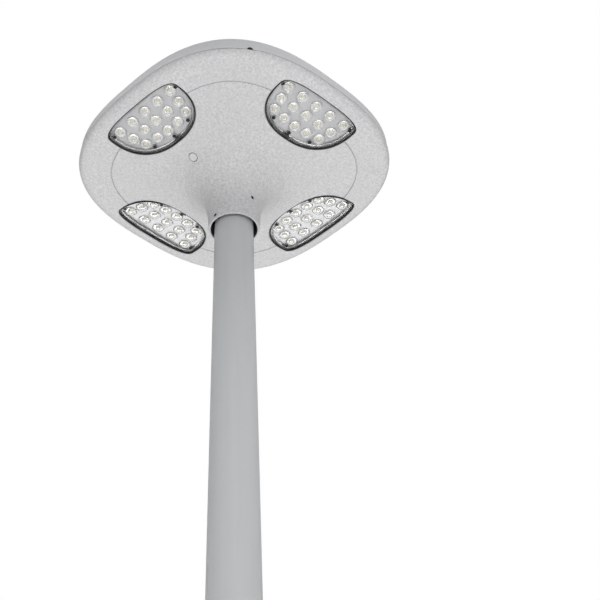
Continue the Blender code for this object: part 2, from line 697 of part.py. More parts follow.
def smooth_route(points, spacing):
    """Points every spacing along a smooth curve through the given points, its two ends square."""
    points = [Vector(p) for p in points]
    fine = []
    for i in range(len(points) - 1):
        before = points[max(i - 1, 0)]
        start, end = points[i], points[i + 1]
        after = points[min(i + 2, len(points) - 1)]
        leave = start + (end - before) / 6
        arrive = end - (after - start) / 6
        fine += interpolate_bezier(start, leave, arrive, end, 13)[:-1]
    fine.append(points[-1])
    length = sum((b - a).length for a, b in zip(fine, fine[1:]))
    count = max(round(length / spacing), 2)
    route, run, target = [fine[0]], 0.0, length / count
    for a, b in zip(fine, fine[1:]):
        piece = (b - a).length
        while run + piece >= target * len(route) and len(route) < count:
            route.append(a.lerp(b, (target * len(route) - run) / piece))
        run += piece
    square_start = points[0] + (points[1] - points[0]).normalized() * LEAD_STUB
    square_end = points[-1] + (points[-2] - points[-1]).normalized() * LEAD_STUB
    return [points[0], square_start] + route[1:] + [square_end, points[-1]]


def lead(name, points, look):
    curve = bpy.data.curves.new(name, "CURVE")
    curve.dimensions = "3D"
    route = smooth_route(points, LEAD_STEP)
    spline = curve.splines.new("POLY")
    spline.points.add(len(route) - 1)
    for target, point in zip(spline.points, route):
        target.co = (*(point * MM), 1.0)
    curve.bevel_depth = LEAD_RADIUS * MM
    curve.bevel_resolution = 2
    curve.use_fill_caps = True
    curve.materials.append(look)
    made = bpy.data.objects.new(name, curve)
    bpy.context.collection.objects.link(made)
    return made


def make_leads(looks):
    controller = controller_place()
    half_depth = CONTROLLER_SIZE[0] / 2

    def port(name):
        """The last two points of a lead: square onto the controller's inner face."""
        across = LEAD_PORTS[name]
        return [controller @ Vector((-half_depth - out, across, PORT_HEIGHT)) for out in (10.0, GAP)]

    def module_exit(angle):
        """The first points of an LED lead: square out of the board through the pocket's floor."""
        place = module_place(angle)
        return [place @ Vector((MODULE_LEAD_AT, 0, up)) for up in (BOARD_DEPTH[1] + GAP, 20.0)]

    look = looks["lead"]
    lead("led_lead_1", module_exit(0) + [(121, 20, 13), (114, 42, 14), (111, 64, 13)]
         + port("led_lead_1"), look)
    lead("led_lead_2", module_exit(90) + [(20, 121, 13), (42, 114, 14), (64, 111, 13)]
         + port("led_lead_2"), look)
    lead("led_lead_3", module_exit(180) + [(-112, 10, 20), (-84, 26, 24), (-30, 60, 24.2),
         (20, 82, 24), (60, 90, 20)] + port("led_lead_3"), look)
    lead("led_lead_4", module_exit(270) + [(10, -112, 20), (26, -84, 24), (60, -30, 24.2),
         (84, 20, 24), (95, 58, 20)] + port("led_lead_4"), look)
    back = button_place() @ Vector((0, 0, -SWITCH_DEPTH - GAP))
    lead("switch_lead", [back] + [(-81, -5, -3), (-80, -12, 14), (-66, -8, 24), (-10, 28, 24.2),
         (46, 62, 24), (82, 88, 18)] + port("switch_lead"), look)
    lead("battery_lead", [(74.2, 16.6, 3), (80, 20, 5), (82, 44, 11), (88, 70, 13)]
         + port("battery_lead"), look)
    box_x, box_y = JUNCTION_BOX_CENTRE
    exit_x = box_x + JUNCTION_BOX_SIZE[0] / 2 + GAP
    lead("panel_lead", [(exit_x + GAP, box_y - 8, 22), (exit_x + 9, box_y - 8.5, 22), (0, 106, 23),
         (32, 99, 23), (60, 99, 19)] + port("panel_lead"), look)


# ---------------------------------------------------------------- the lamp

def build_lamp():
    clear_scene()
    looks = {
        "paint": material("head_paint", (0.56, 0.57, 0.58), 0.55),
        "pole_paint": material("pole_paint", (0.42, 0.43, 0.44), 0.42),
        "clip": material("clip_white", (0.82, 0.82, 0.83), 0.5),
        "rubber": material("seal_rubber", (0.03, 0.03, 0.03), 0.7),
        "board": material("led_board_white", (0.72, 0.72, 0.74), 0.35),
        "clear": material("lens_clear", (0.9, 0.92, 0.93), 0.08, alpha=0.35),
        "white": material("backsheet_white", (0.85, 0.86, 0.87), 0.5),
        "cells": material("solar_cells", (0.012, 0.012, 0.018), 0.2),
        "glass": material("panel_glass", (0.9, 0.92, 0.93), 0.05, alpha=0.3),
        "black": material("black_plastic", (0.02, 0.02, 0.02), 0.5),
        "dark": material("controller_case", (0.05, 0.05, 0.055), 0.45, 0.6),
        "cell_wrap": material("cell_wrap", (0.04, 0.16, 0.42), 0.4),
        "zinc": material("zinc_steel", (0.55, 0.56, 0.57), 0.35, 1.0),
        "dark_steel": material("dark_steel", (0.06, 0.06, 0.065), 0.4, 0.9),
        "button": material("button_silicone", (0.66, 0.68, 0.69), 0.45),
        "lead": material("lead_sheath", (0.03, 0.03, 0.03), 0.5),
    }
    make_pole(looks["pole_paint"])
    make_base_flange(looks["pole_paint"])
    standing = list(bpy.context.collection.objects)
    make_lower_housing(looks["paint"])
    make_top_cover(looks["paint"])
    make_cover_gasket(looks["rubber"])
    make_drain_plug(looks["rubber"])
    for number, angle in enumerate(MODULE_ANGLES, start=1):
        make_module(number, angle, looks)
    make_panel(looks)
    make_clips(looks)
    make_battery(looks)
    make_controller(looks)
    make_switch(looks)
    make_set_screws(looks)
    make_leads(looks)

    head = bpy.data.objects.new("head", None)
    head.location = (0, 0, LED_LEVEL * MM)
    for piece in bpy.context.collection.objects:
        if piece not in standing:
            piece.parent = head
    bpy.context.collection.objects.link(head)


build_lamp()
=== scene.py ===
"""Looks of the solar street lamp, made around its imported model.

Lengths are in millimetres and MM turns them into metres. The pole's pieces are made from the ground up,
and the head's from the LED level, a plane through the head that all its levels are measured from. A
module's pieces are made in the module's own frame: x away from the pole, depth into the head.
"""
from math import asin, atan, copysign, cos, hypot, pi, radians, sin

import bmesh
import bpy
from mathutils import Matrix, Vector


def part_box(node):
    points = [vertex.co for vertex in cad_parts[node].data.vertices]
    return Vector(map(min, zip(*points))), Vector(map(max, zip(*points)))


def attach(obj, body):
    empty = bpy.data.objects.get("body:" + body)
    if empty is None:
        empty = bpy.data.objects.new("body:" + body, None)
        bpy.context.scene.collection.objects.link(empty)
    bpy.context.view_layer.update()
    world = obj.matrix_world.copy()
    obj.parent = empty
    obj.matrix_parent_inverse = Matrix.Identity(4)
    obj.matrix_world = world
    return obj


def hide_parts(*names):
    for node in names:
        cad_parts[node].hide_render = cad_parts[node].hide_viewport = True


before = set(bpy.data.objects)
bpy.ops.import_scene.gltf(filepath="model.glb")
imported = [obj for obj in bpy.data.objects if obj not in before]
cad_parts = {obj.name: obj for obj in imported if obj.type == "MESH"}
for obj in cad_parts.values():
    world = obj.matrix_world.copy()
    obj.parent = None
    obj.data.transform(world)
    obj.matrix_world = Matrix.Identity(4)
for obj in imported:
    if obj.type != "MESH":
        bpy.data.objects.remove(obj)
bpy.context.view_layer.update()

MM = 0.001


def box_mm(node):
    """The lowest and highest corners of a CAD node, in millimetres."""
    low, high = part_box(node)
    return low / MM, high / MM


# -------- driving dimensions

COLLAR_MOUTH = -128.3        # level of the collar's lower end
LED_LEVEL = box_mm("lower_housing")[0].z - COLLAR_MOUTH
HEAD = Matrix.Translation((0, 0, LED_LEVEL))
GROUND = Matrix.Identity(4)
FLIP = Matrix.Rotation(pi, 4, "X")
SHARP_ANGLE = 32.0           # degrees; edges that turn more are shaded sharp

POLE_FOOT = box_mm("pole_shaft")[1].x       # radius at the ground
POLE_TAPER, POLE_WALL = 0.011, 3.0          # radius lost per unit of height; wall thickness
FLANGE_TOP, FLANGE_CORNER = 14.0, 24.0
CABLE_HOLE_RADIUS = 40.0
ANCHOR_AT, ANCHOR_HOLE_RADIUS = 110.0, 11.0
RIB_ANGLES = (45, 135, 225, 315)
RIB_HALF_WIDTH, RIB_LENGTH, RIB_END_HEIGHT = 4.0, 62.0, 12.0

ROUND_SIDES = 240            # points around the head's shells
UNDERSIDE = [                # half side, squareness exponent, level at the sides, lift at the corners
    (39.6, 2.0, -128.3, 0.0),
    (40.3, 2.0, -122.0, 0.0),
    (41.2, 2.0, -104.0, 0.0),
    (43.2, 2.0, -88.0, 0.0),
    (47.5, 2.0, -73.0, 0.0),
    (54.5, 2.0, -59.0, 0.0),
    (64.0, 2.0, -46.5, 0.0),
    (79.0, 2.0, -33.0, 0.0),
    (95.0, 2.15, -23.5, 0.0),
    (118.0, 2.45, -15.0, 0.5),
    (146.0, 2.75, -10.0, 1.5),
    (176.0, 2.97, -6.6, 2.5),
    (205.0, 2.85, -3.0, 1.5),
    (219.0, 2.74, -0.6, 0.5),
    (226.0, 2.68, 2.2, 0.0),
    (230.2, 2.63, 6.0, 0.0),
    (231.6, 2.62, 10.0, 0.0),
]
RIM_LEVEL, RIM_EXPONENT = UNDERSIDE[-1][2], 2.62
SHELL_WALL = 3.0
GROOVES = [(79.0, 1.1, 0.8), (177.0, 1.1, 2.0)]     # half side, half width, depth
BORE_MOUTH, BORE_TOP = 36.6, 33.4
SOCKET_WALL, SOCKET_ROOF, WIRE_HOLE = 42.0, 6.0, 8.0

COVER_OUTSIDE = [            # half side, squareness exponent, level, lift at the corners
    (231.5, 2.62, 11.2, 0.0),
    (229.4, 2.67, 20.0, 0.0),
    (227.2, 2.74, 29.5, 0.0),
    (226.5, 2.77, 33.0, 0.0),
]
COVER_TOP, COVER_EDGE_RADIUS = 36.0, 3.0
COVER_INSIDE_TOP = 33.2

MODULE_ANGLES = (0, 90, 180, 270)
MODULE_RADIUS = 190.0
MODULE_LEVEL = -4.3
MODULE_TILT = 0.147
WINDOW_HALF_WIDTH = 80.3
WINDOW_INNER_REACH, WINDOW_INNER_EXPONENT = 73.0, 2.35
WINDOW_OUTER_REACH, WINDOW_OUTER_EXPONENT = 21.5, 2.8
WINDOW_SIDES = 112
WINDOW_LIP = 1.3
POCKET_DEPTH, POCKET_FLOOR = 12.2, 3.0
RIM_DEPTH, RIM_WIDTH = 4.4, 4.8
PLATE_LOW, PLATE_HIGH = 7.6, 10.0
BOARD_LOW, BOARD_HIGH = 10.3, 11.9
LENS_ROWS = [(0.0, 30.0, 0.0), (-23.5, 27.1, 0.17), (-49.0, 24.0, 1.37)]     # x, spacing, bend
LENS_CENTRES = [(x + bend * step * step, step * spacing)
                for x, spacing, bend in LENS_ROWS for step in (-2, -1, 0, 1, 2)]
LENS_RADIUS, LENS_HEIGHT = 10.3, 5.8
CAVITY_RADIUS, CAVITY_HEIGHT = 3.8, 2.2
MODULE_SCREWS = [(0, 73), (0, -73), (-62.5, 0), (-56, 39.5), (-56, -39.5)]
BOSS_RADIUS, BOSS_HEIGHT = 4.3, 1.2
TAB_AT, TAB_SIZE, TAB_DEPTHS = (-68.6, 0.0), (4.6, 8.4), (7.4, 3.2, 2.9)
LED_BASE_SIDE, LED_BASE_HEIGHT = 5.0, 0.75
REFLECTOR_RADIUS, REFLECTOR_HOLE, REFLECTOR_HEIGHT = 10.2, 3.7, 0.22

PANEL_SIDE, PANEL_RECESS_SIDE = 341.0, 342.6
RECESS_FLOOR = 31.0
BACKSHEET_LEVELS = (31.3, 32.1)
CELL_LEVELS = (32.4, 32.62, 32.68)      # foot, edge and face of a cell
BUSBAR_LEVELS = (32.66, 32.76, 32.8)
PANE_LEVELS = (33.0, 33.4, 35.6, 36.0)
CELL_FIELD_SIDE = 318.0
CELL_ROWS, CELL_COLUMNS = 18, 2
CELL_GAP_ACROSS, CELL_GAP_ALONG = 1.6, 1.1
FINGER_PITCH = 2.1713
BUSBARS = [(-119.0, 1.8), (-40.0, 1.8), (0.0, 2.2), (40.0, 1.8), (119.0, 1.8)]     # x, width

CLIP_SCREW_AT, COVER_SCREW_AT = (104.0, 181.5), (146.5, 187.5)
CLIP_MIDDLE, CLIP_SIZE, CLIP_CORNER = 176.5, (24.0, 27.0), 3.0
CLIP_LEVELS = (36.3, 38.6, 39.3)
TOP_SCREW_HOLE_RADIUS = 2.4
TOP_SCREWS = [("clip", CLIP_SCREW_AT, 39.6, 3.6, 9.0),        # name, place, level of the seat,
              ("cover", COVER_SCREW_AT, 36.3, 4.2, 21.0)]     # head radius, shank length

BUTTON_AT, BUTTON_LEVEL, BUTTON_SLOPE = -88.0, -27.7, 0.594
BUTTON_RADIUS, BUTTON_HOLE_RADIUS, BUTTON_STEM_RADIUS = 6.9, 7.9, 2.8
SET_SCREWS = [(0, -121.5, 40.3), (180, -121.5, 40.3), (90, -88.0, 43.2), (270, -88.0, 43.2)]
SET_SCREW_HOLE_RADIUS, THREAD_PITCH = 3.2, 1.0
THREAD_CREST, THREAD_ROOT = 2.88, 2.45
SCREW_SIDES = 48
DRAIN_AT, DRAIN_RADIUS = (-152.0, -201.0), 4.4


# -------- node materials

def set_values(node, values):
    for socket, value in values.items():
        node.inputs[socket].default_value = value


def add_node(look, kind, values):
    node = look.node_tree.nodes.new("ShaderNode" + kind)
    set_values(node, values)
    return node


def principled(look):
    return look.node_tree.nodes["Principled BSDF"]


def link(look, output, socket):
    look.node_tree.links.new(output, socket)


def feed(look, socket, value):
    link(look, value, principled(look).inputs[socket])


def new_look(name, colour, roughness, metallic=0.0):
    look = bpy.data.materials.new(name)
    look.use_nodes = True
    look.diffuse_color = (*colour, 1.0)
    set_values(principled(look), {"Base Color": (*colour, 1.0), "Roughness": roughness,
                                  "Metallic": metallic})
    return look


def noise(look, size, detail=3.0, roughness=0.55, stretch=(1, 1, 1)):
    """A noise pattern whose features are about size millimetres wide; stretch lengthens them."""
    place = add_node(look, "TexCoord", {})
    mapping = add_node(look, "Mapping", {"Scale": [1 / (size * MM * s) for s in stretch]})
    pattern = add_node(look, "TexNoise", {"Scale": 1.0, "Detail": detail, "Roughness": roughness})
    link(look, place.outputs["Object"], mapping.inputs["Vector"])
    link(look, mapping.outputs["Vector"], pattern.inputs["Vector"])
    return pattern.outputs[0]


def spread(look, value, low, high, source=(0.3, 0.7)):
    """The value carried over from its source range to the range low to high."""
    ends = {"From Min": source[0], "From Max": source[1], "To Min": low, "To Max": high}
    node = add_node(look, "MapRange", ends)
    link(look, value, node.inputs["Value"])
    return node.outputs["Result"]


def blend_colours(look, value, first, second):
    """Colour between first and second as value goes from 0 to 1; each is a colour or a socket."""
    node = add_node(look, "Mix", {})
    node.data_type = "RGBA"
    link(look, value, node.inputs[0])
    for socket, colour in ((node.inputs[6], first), (node.inputs[7], second)):
        if isinstance(colour, tuple):
            socket.default_value = (*colour, 1.0)
        else:
            link(look, colour, socket)
    return node.outputs[2]


def bump(look, height, strength, distance):
    """Feeds a bump of the given height pattern to the shader."""
    node = add_node(look, "Bump", {"Strength": strength, "Distance": distance * MM})
    link(look, height, node.inputs["Height"])
    feed(look, "Normal", node.outputs["Normal"])


def shade(colour, factor):
    return tuple(c * factor for c in colour)


def hammer_paint(name, colour, grain, contrast, relief):
    """Powder coat with a sandy hammer finish, slightly uneven over the casting."""
    look = new_look(name, colour, 0.5)
    set_values(principled(look), {"Specular IOR Level": 0.3})
    fine = noise(look, grain, detail=2.5, roughness=0.6)
    broad = noise(look, 60, detail=2.0)
    mottled = blend_colours(look, spread(look, fine, 0, 1, (0.32, 0.68)),
                            shade(colour, 1 - contrast), shade(colour, 1 + contrast))
    clouded = blend_colours(look, spread(look, broad, 0, 0.35), mottled, shade(colour, 0.96))
    feed(look, "Base Color", clouded)
    feed(look, "Roughness", spread(look, fine, 0.42, 0.6))
    bump(look, fine, 0.55, relief)
    return look


def satin_paint(name, colour):
    """Smooth satin powder coat with a faint orange peel and faint long streaks."""
    look = new_look(name, colour, 0.42)
    streaks = noise(look, 14, detail=2.0, stretch=(1, 1, 30))
    feed(look, "Base Color", blend_colours(look, spread(look, streaks, 0, 1), shade(colour, 0.975),
                                           shade(colour, 1.02)))
    peel = noise(look, 3.5, detail=1.5)
    feed(look, "Roughness", spread(look, peel, 0.38, 0.46))
    bump(look, peel, 0.12, 0.15)
    return look


def grained(name, colour, roughness, grain, contrast=0.15, relief=0.05, metallic=0.0):
    """A plain finish with a fine uneven grain in colour, roughness and relief."""
    look = new_look(name, colour, roughness, metallic)
    grain_value = noise(look, grain)
    feed(look, "Base Color", blend_colours(look, spread(look, grain_value, 0, 1),
                                           shade(colour, 1 - contrast), shade(colour, 1 + contrast)))
    feed(look, "Roughness", spread(look, grain_value, roughness * 0.85, min(roughness * 1.15, 1.0)))
    bump(look, grain_value, 0.3, relief)
    return look


def clear(name, tint, roughness, ior, ripple, clearness=1.0, coat=0.0):
    """Clear plastic or glass whose surface is very slightly wavy."""
    look = new_look(name, tint, roughness)
    set_values(principled(look), {"Transmission Weight": clearness, "IOR": ior, "Coat Weight": coat,
                                  "Coat IOR": 1.8, "Coat Roughness": 0.04})
    bump(look, noise(look, 9, detail=1.0), 0.08, ripple)
    return look


def silicon(name):
    """Dark silicon whose cells differ a little, under fine grid fingers."""
    look = new_look(name, (0.012, 0.012, 0.017), 0.22)
    set_values(principled(look), {"Specular IOR Level": 0.1})
    cloud = noise(look, 45, detail=2.0)
    base = blend_colours(look, spread(look, cloud, 0, 1), (0.004, 0.004, 0.006), (0.009, 0.009, 0.013))
    place = add_node(look, "TexCoord", {})
    fingers = add_node(look, "TexWave", {"Scale": pi / 10 / (FINGER_PITCH * MM)})
    fingers.bands_direction = "Y"
    link(look, place.outputs["Object"], fingers.inputs["Vector"])
    lines = spread(look, fingers.outputs[1], 0, 0.16, (0.93, 1.0))
    feed(look, "Base Color", blend_colours(look, lines, base, (0.05, 0.05, 0.056)))
    feed(look, "Roughness", spread(look, cloud, 0.16, 0.28))
    return look


def white_board(name, colour):
    """Glossy white solder mask that brightens where it is seen at a low angle."""
    look = grained(name, colour, 0.3, 2.5, 0.03, 0.02)
    set_values(principled(look), {"Sheen Weight": 1.0, "Sheen Roughness": 0.3})
    return look


LOOKS = {
    "housing": hammer_paint("housing_hammer_paint", (0.562, 0.560, 0.574), 3.4, 0.17, 0.5),
    "cover": hammer_paint("cover_hammer_paint", (0.452, 0.456, 0.474), 2.4, 0.08, 0.25),
    "clip": grained("white_clip_paint", (0.83, 0.83, 0.835), 0.42, 1.6, 0.03, 0.04),
    "pole": satin_paint("pole_satin_paint", (0.540, 0.553, 0.571)),
    "rubber": grained("black_rubber", (0.016, 0.016, 0.017), 0.7, 1.2, 0.25),
    "black": grained("black_plastic", (0.022, 0.022, 0.023), 0.42, 0.9, 0.15),
    "dark_screw": grained("black_oxide_steel", (0.045, 0.045, 0.048), 0.38, 0.7, 0.2, 0.03, 0.9),
    "board": white_board("board_solder_mask", (0.84, 0.83, 0.86)),
    "white_ring": grained("reflector_white", (0.93, 0.93, 0.92), 0.3, 1.5, 0.02, 0.01),
    "ceramic": grained("led_ceramic", (0.85, 0.84, 0.80), 0.4, 0.5, 0.03, 0.01),
    "phosphor": grained("led_phosphor", (0.93, 0.80, 0.34), 0.45, 0.4, 0.06, 0.01),
    # near-black painted shade for the deep shadow inside the collar's bore
    "bore": grained("bore_painted_shade", (0.045, 0.045, 0.048), 0.6, 1.6, 0.2, 0.1),
    "lens": clear("lens_polycarbonate", (0.985, 0.99, 0.992), 0.0, 1.49, 0.03, coat=0.6),
    "lens_dome": clear("lens_dome_polycarbonate", (0.985, 0.985, 0.98), 0.0, 1.49, 0.01, 0.78, 0.5),
    "lens_rim": clear("lens_rim_polycarbonate", (0.97, 0.975, 0.98), 0.05, 1.49, 0.03, 0.93, 0.2),
    "glass": clear("panel_tempered_glass", (0.97, 0.985, 0.98), 0.0, 1.16, 0.01),
    "cells": silicon("mono_silicon_cells"),
    "tabbing": grained("tinned_tabbing", (0.72, 0.72, 0.73), 0.3, 1.0, 0.06, 0.02, 0.8),
    "backsheet": grained("white_backsheet", (0.93, 0.935, 0.94), 0.45, 1.5, 0.02, 0.02),
    "button": grained("grey_silicone", (0.58, 0.585, 0.605), 0.5, 0.8, 0.03, 0.03),
    "weld": grained("painted_weld", (0.54, 0.548, 0.556), 0.45, 3.0, 0.05, 0.3),
    "wrap": grained("battery_shrink_sleeve", (0.04, 0.16, 0.42), 0.3, 5.0, 0.08, 0.05),
    "case": grained("anodised_case", (0.04, 0.04, 0.045), 0.4, 0.8, 0.15, 0.03, 0.6),
    "zinc": grained("zinc_plate", (0.5, 0.5, 0.52), 0.35, 4.0, 0.12, 0.02, 1.0),
    "sheath": grained("lead_sheath", (0.02, 0.02, 0.02), 0.5, 0.8, 0.15, 0.02),
    "floor": grained("pale_floor", (0.80, 0.80, 0.79), 0.7, 40, 0.015, 0.1),
}


# -------- mesh helpers

def bridge_rings(builder, rings, loop=False):
    """Joins rings of equally many points with quads; caps both ends, or joins last to first.

    This and the functions that end in it hand the builder back.
    """
    made = [[builder.verts.new(point) for point in ring] for ring in rings]
    pairs = list(zip(made, made[1:]))
    if loop:
        pairs.append((made[-1], made[0]))
    else:
        builder.faces.new(made[0])
        builder.faces.new(list(reversed(made[-1])))
    for lower, upper in pairs:
        for i in range(len(lower)):
            j = (i + 1) % len(lower)
            builder.faces.new((lower[j], lower[i], upper[i], upper[j]))
    return builder


def rounded(points, radius, steps=4, closed=False):
    """The corners of a polyline rounded; a corner of a closed one is rounded too."""
    count, result = len(points), []
    for i, corner in enumerate(points):
        if not closed and i in (0, count - 1):
            result.append(tuple(corner))
            continue
        corner = Vector(corner)
        before, after = Vector(points[i - 1]) - corner, Vector(points[(i + 1) % count]) - corner
        start = corner + before * min(radius / before.length, 0.49)
        end = corner + after * min(radius / after.length, 0.49)
        for step in range(steps + 1):
            t = step / steps
            result.append(tuple(start * (1 - t) ** 2 + corner * 2 * t * (1 - t) + end * t ** 2))
    return result


def circle(radius, height, sides):
    turn = 2 * pi / sides
    return [Vector((radius * cos(turn * i), radius * sin(turn * i), height)) for i in range(sides)]


def turned(builder, profile, sides=48, place=GROUND, loop=False):
    """A turned solid from (radius, height) points, about +Z of the given place."""
    rings = [[place @ p for p in circle(r, h, sides)] for r, h in profile]
    return bridge_rings(builder, rings, loop)


def stacked(builder, outlines, loop=False):
    """A solid through (outline, height) pairs."""
    rings = [[Vector((x, y, z)) for x, y in outline] for outline, z in outlines]
    return bridge_rings(builder, rings, loop)


def rectangle(width, depth, corner, centre=(0.0, 0.0), steps=6):
    points = []
    for quarter, (sx, sy) in enumerate(((1, 1), (-1, 1), (-1, -1), (1, -1))):
        x, y = centre[0] + sx * (width / 2 - corner), centre[1] + sy * (depth / 2 - corner)
        for step in range(steps + 1):
            angle = radians(90 * quarter + 90 * step / steps)
            points.append((x + corner * cos(angle), y + corner * sin(angle)))
    return points


def block(builder, width, depth, levels, corner, bevel, face_corner, centre=(0.0, 0.0), steps=6):
    """A block from its foot's level to its edge's and its face's, drawn in by the bevel at the face."""
    foot, edge, face = levels
    outline = rectangle(width, depth, corner, centre, steps)
    inset = rectangle(width - bevel, depth - bevel, face_corner, centre, steps)
    return stacked(builder, [(outline, foot), (outline, edge), (inset, face)])


def four_corners(x, y):
    return [(sx * x, sy * y) for sx, sy in ((1, 1), (-1, 1), (-1, -1), (1, -1))]


def top_screw_hole(builder, x, y):
    profile = [(TOP_SCREW_HOLE_RADIUS, 20), (TOP_SCREW_HOLE_RADIUS, 50)]
    return turned(builder, profile, 32, shifted(x, y))


def shifted(x, y, z=0.0):
    return Matrix.Translation((x, y, z))


def place_along(origin, direction):
    """A frame at origin whose +Z points along direction."""
    return Matrix.Translation(origin) @ Vector(direction).to_track_quat("Z", "Y").to_matrix().to_4x4()


def mesh_object(name, builder, look, place=GROUND, sharp_angle=SHARP_ANGLE):
    """An object from a mesh in millimetres in the given frame; its own origin stays at the ground."""
    bmesh.ops.recalc_face_normals(builder, faces=builder.faces)
    bmesh.ops.transform(builder, matrix=Matrix.Diagonal((MM, MM, MM, 1)) @ place, verts=builder.verts)
    mesh = bpy.data.meshes.new(name)
    builder.to_mesh(mesh)
    builder.free()
    mesh.shade_smooth()
    mesh.set_sharp_from_angle(angle=radians(sharp_angle))
    made = bpy.data.objects.new(name, mesh)
    bpy.context.scene.collection.objects.link(made)
    if look:
        mesh.materials.append(LOOKS[look])
    return made


def cutter(builder, place=HEAD):
    return mesh_object("cutter", builder, None, place)


def carve(target, operation, other):
    """Applies a Boolean of the other object to the target, and removes the other."""
    step = target.modifiers.new("carve", "BOOLEAN")
    step.operation, step.solver, step.object = operation, "EXACT", other
    evaluated = target.evaluated_get(bpy.context.evaluated_depsgraph_get())
    mesh = bpy.data.meshes.new_from_object(evaluated)
    target.modifiers.clear()
    target.data = mesh
    mesh.shade_smooth()
    mesh.set_sharp_from_angle(angle=radians(SHARP_ANGLE))
    bpy.data.objects.remove(other, do_unlink=True)


def cut(target, builder, place=HEAD):
    carve(target, "DIFFERENCE", cutter(builder, place))


def piece(made, body, slot, *nodes):
    """Attaches a finished object to its body and hides the CAD nodes that it stands for."""
    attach(made, body)
    if nodes:
        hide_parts(*nodes)


def add(name, builder, look, slot, *nodes, body="head", place=HEAD, sharp_angle=SHARP_ANGLE):
    piece(mesh_object(name, builder, look, place, sharp_angle), body, slot, *nodes)


def copies(name, builder, look, places, slot):
    """One piece of the head that holds the mesh at each of the places."""
    single = bpy.data.meshes.new(name)
    bmesh.ops.recalc_face_normals(builder, faces=builder.faces)
    builder.to_mesh(single)
    builder.free()
    joined = bmesh.new()
    for place in places:
        single.transform(place)
        joined.from_mesh(single)
        single.transform(place.inverted())
    bpy.data.meshes.remove(single)
    add(name, joined, look, slot, place=GROUND)


# -------- outlines of the head

def smooth_sections(sections, steps):
    """More sections along a smooth curve through the given ones."""
    result = []
    for i in range(len(sections) - 1):
        p0, p1 = sections[max(i - 1, 0)], sections[i]
        p2, p3 = sections[i + 1], sections[min(i + 2, len(sections) - 1)]
        for step in range(steps):
            t = step / steps
            result.append(tuple(0.5 * (2 * b + (c - a) * t + (2 * a - 5 * b + 4 * c - d) * t * t
                                       + (3 * b - a - 3 * c + d) * t ** 3)
                                for a, b, c, d in zip(p0, p1, p2, p3)))
    result.append(tuple(float(v) for v in sections[-1]))
    return result


FINE_UNDERSIDE = smooth_sections(UNDERSIDE, 5)


def corner_share(exponent, stretch):
    """How much of a section's corner lift applies where its radius is stretched that much."""
    corner_stretch = 2 ** (0.5 - 1 / exponent) - 1
    return (stretch - 1) / corner_stretch if corner_stretch > 1e-6 else 0.0


def section_ring(section):
    """Points of one rounded-square section of the head."""
    half_side, exponent, level, lift = section
    ring = []
    for i in range(ROUND_SIDES):
        angle = 2 * pi * i / ROUND_SIDES
        cosine, sine = cos(angle), sin(angle)
        stretch = (abs(cosine) ** exponent + abs(sine) ** exponent) ** (-1 / exponent)
        radius = half_side * stretch
        ring.append(Vector((radius * cosine, radius * sine, level + lift * corner_share(exponent, stretch))))
    return ring


def section_at(half_side):
    """The underside's section of that half side."""
    for before, after in zip(FINE_UNDERSIDE, FINE_UNDERSIDE[1:]):
        if half_side <= after[0]:
            break
    t = (half_side - before[0]) / (after[0] - before[0])
    return tuple(a + (b - a) * t for a, b in zip(before, after))


def underside_level(x, y):
    """Level of the underside's face at a point of the plan."""
    half_side = max(abs(x), abs(y))
    for _ in range(12):
        section = section_at(half_side)
        half_side = (abs(x) ** section[1] + abs(y) ** section[1]) ** (1 / section[1])
    section = section_at(half_side)
    return section[2] + section[3] * corner_share(section[1], hypot(x, y) / half_side)


def wall_offset(sections, wall):
    """The sections moved inwards by the wall thickness, square to their profile."""
    moved = []
    for i, (half_side, exponent, level, lift) in enumerate(sections):
        before, after = sections[max(i - 1, 0)], sections[min(i + 1, len(sections) - 1)]
        across, up = after[0] - before[0], after[2] - before[2]
        length = hypot(across, up)
        moved.append((half_side - wall * up / length, exponent, level + wall * across / length, lift))
    return moved


def window_outline(shrink):
    """The D of an LED window, made smaller all round by shrink, with no point on the shell's own edges."""
    points = []
    for i in range(WINDOW_SIDES):
        angle = 2 * pi * (i + 0.5) / WINDOW_SIDES
        cosine, sine = cos(angle), sin(angle)
        outward = cosine >= 0
        reach = (WINDOW_OUTER_REACH if outward else WINDOW_INNER_REACH) - shrink
        power = 2 / (WINDOW_OUTER_EXPONENT if outward else WINDOW_INNER_EXPONENT)
        points.append((reach * copysign(abs(cosine) ** power, cosine),
                       (WINDOW_HALF_WIDTH - shrink) * copysign(abs(sine) ** power, sine)))
    return points


def module_place(angle):
    """Frame of a module: +X away from the pole, +Z into the head, square to the tilted window."""
    return (Matrix.Rotation(radians(angle), 4, "Z")
            @ Matrix.Translation((MODULE_RADIUS, 0, MODULE_LEVEL))
            @ Matrix.Rotation(-atan(MODULE_TILT), 4, "Y"))


def surface_depth(place, x, y):
    """Depth, in the module's frame, at which its point (x, y) meets the underside's face."""
    depth = 0.0
    for _ in range(6):
        point = place @ Vector((x, y, depth))
        depth += underside_level(point.x, point.y) - point.z
    return depth


def button_place():
    """Frame of the power button: +Z out of the head, the origin on the shell's outer face."""
    return place_along((BUTTON_AT, 0, BUTTON_LEVEL), (-BUTTON_SLOPE, 0, -1))


def set_screw_place(angle, level):
    turn = radians(angle)
    return place_along((0, 0, level), (cos(turn), sin(turn), 0))


# -------- pole and base flange

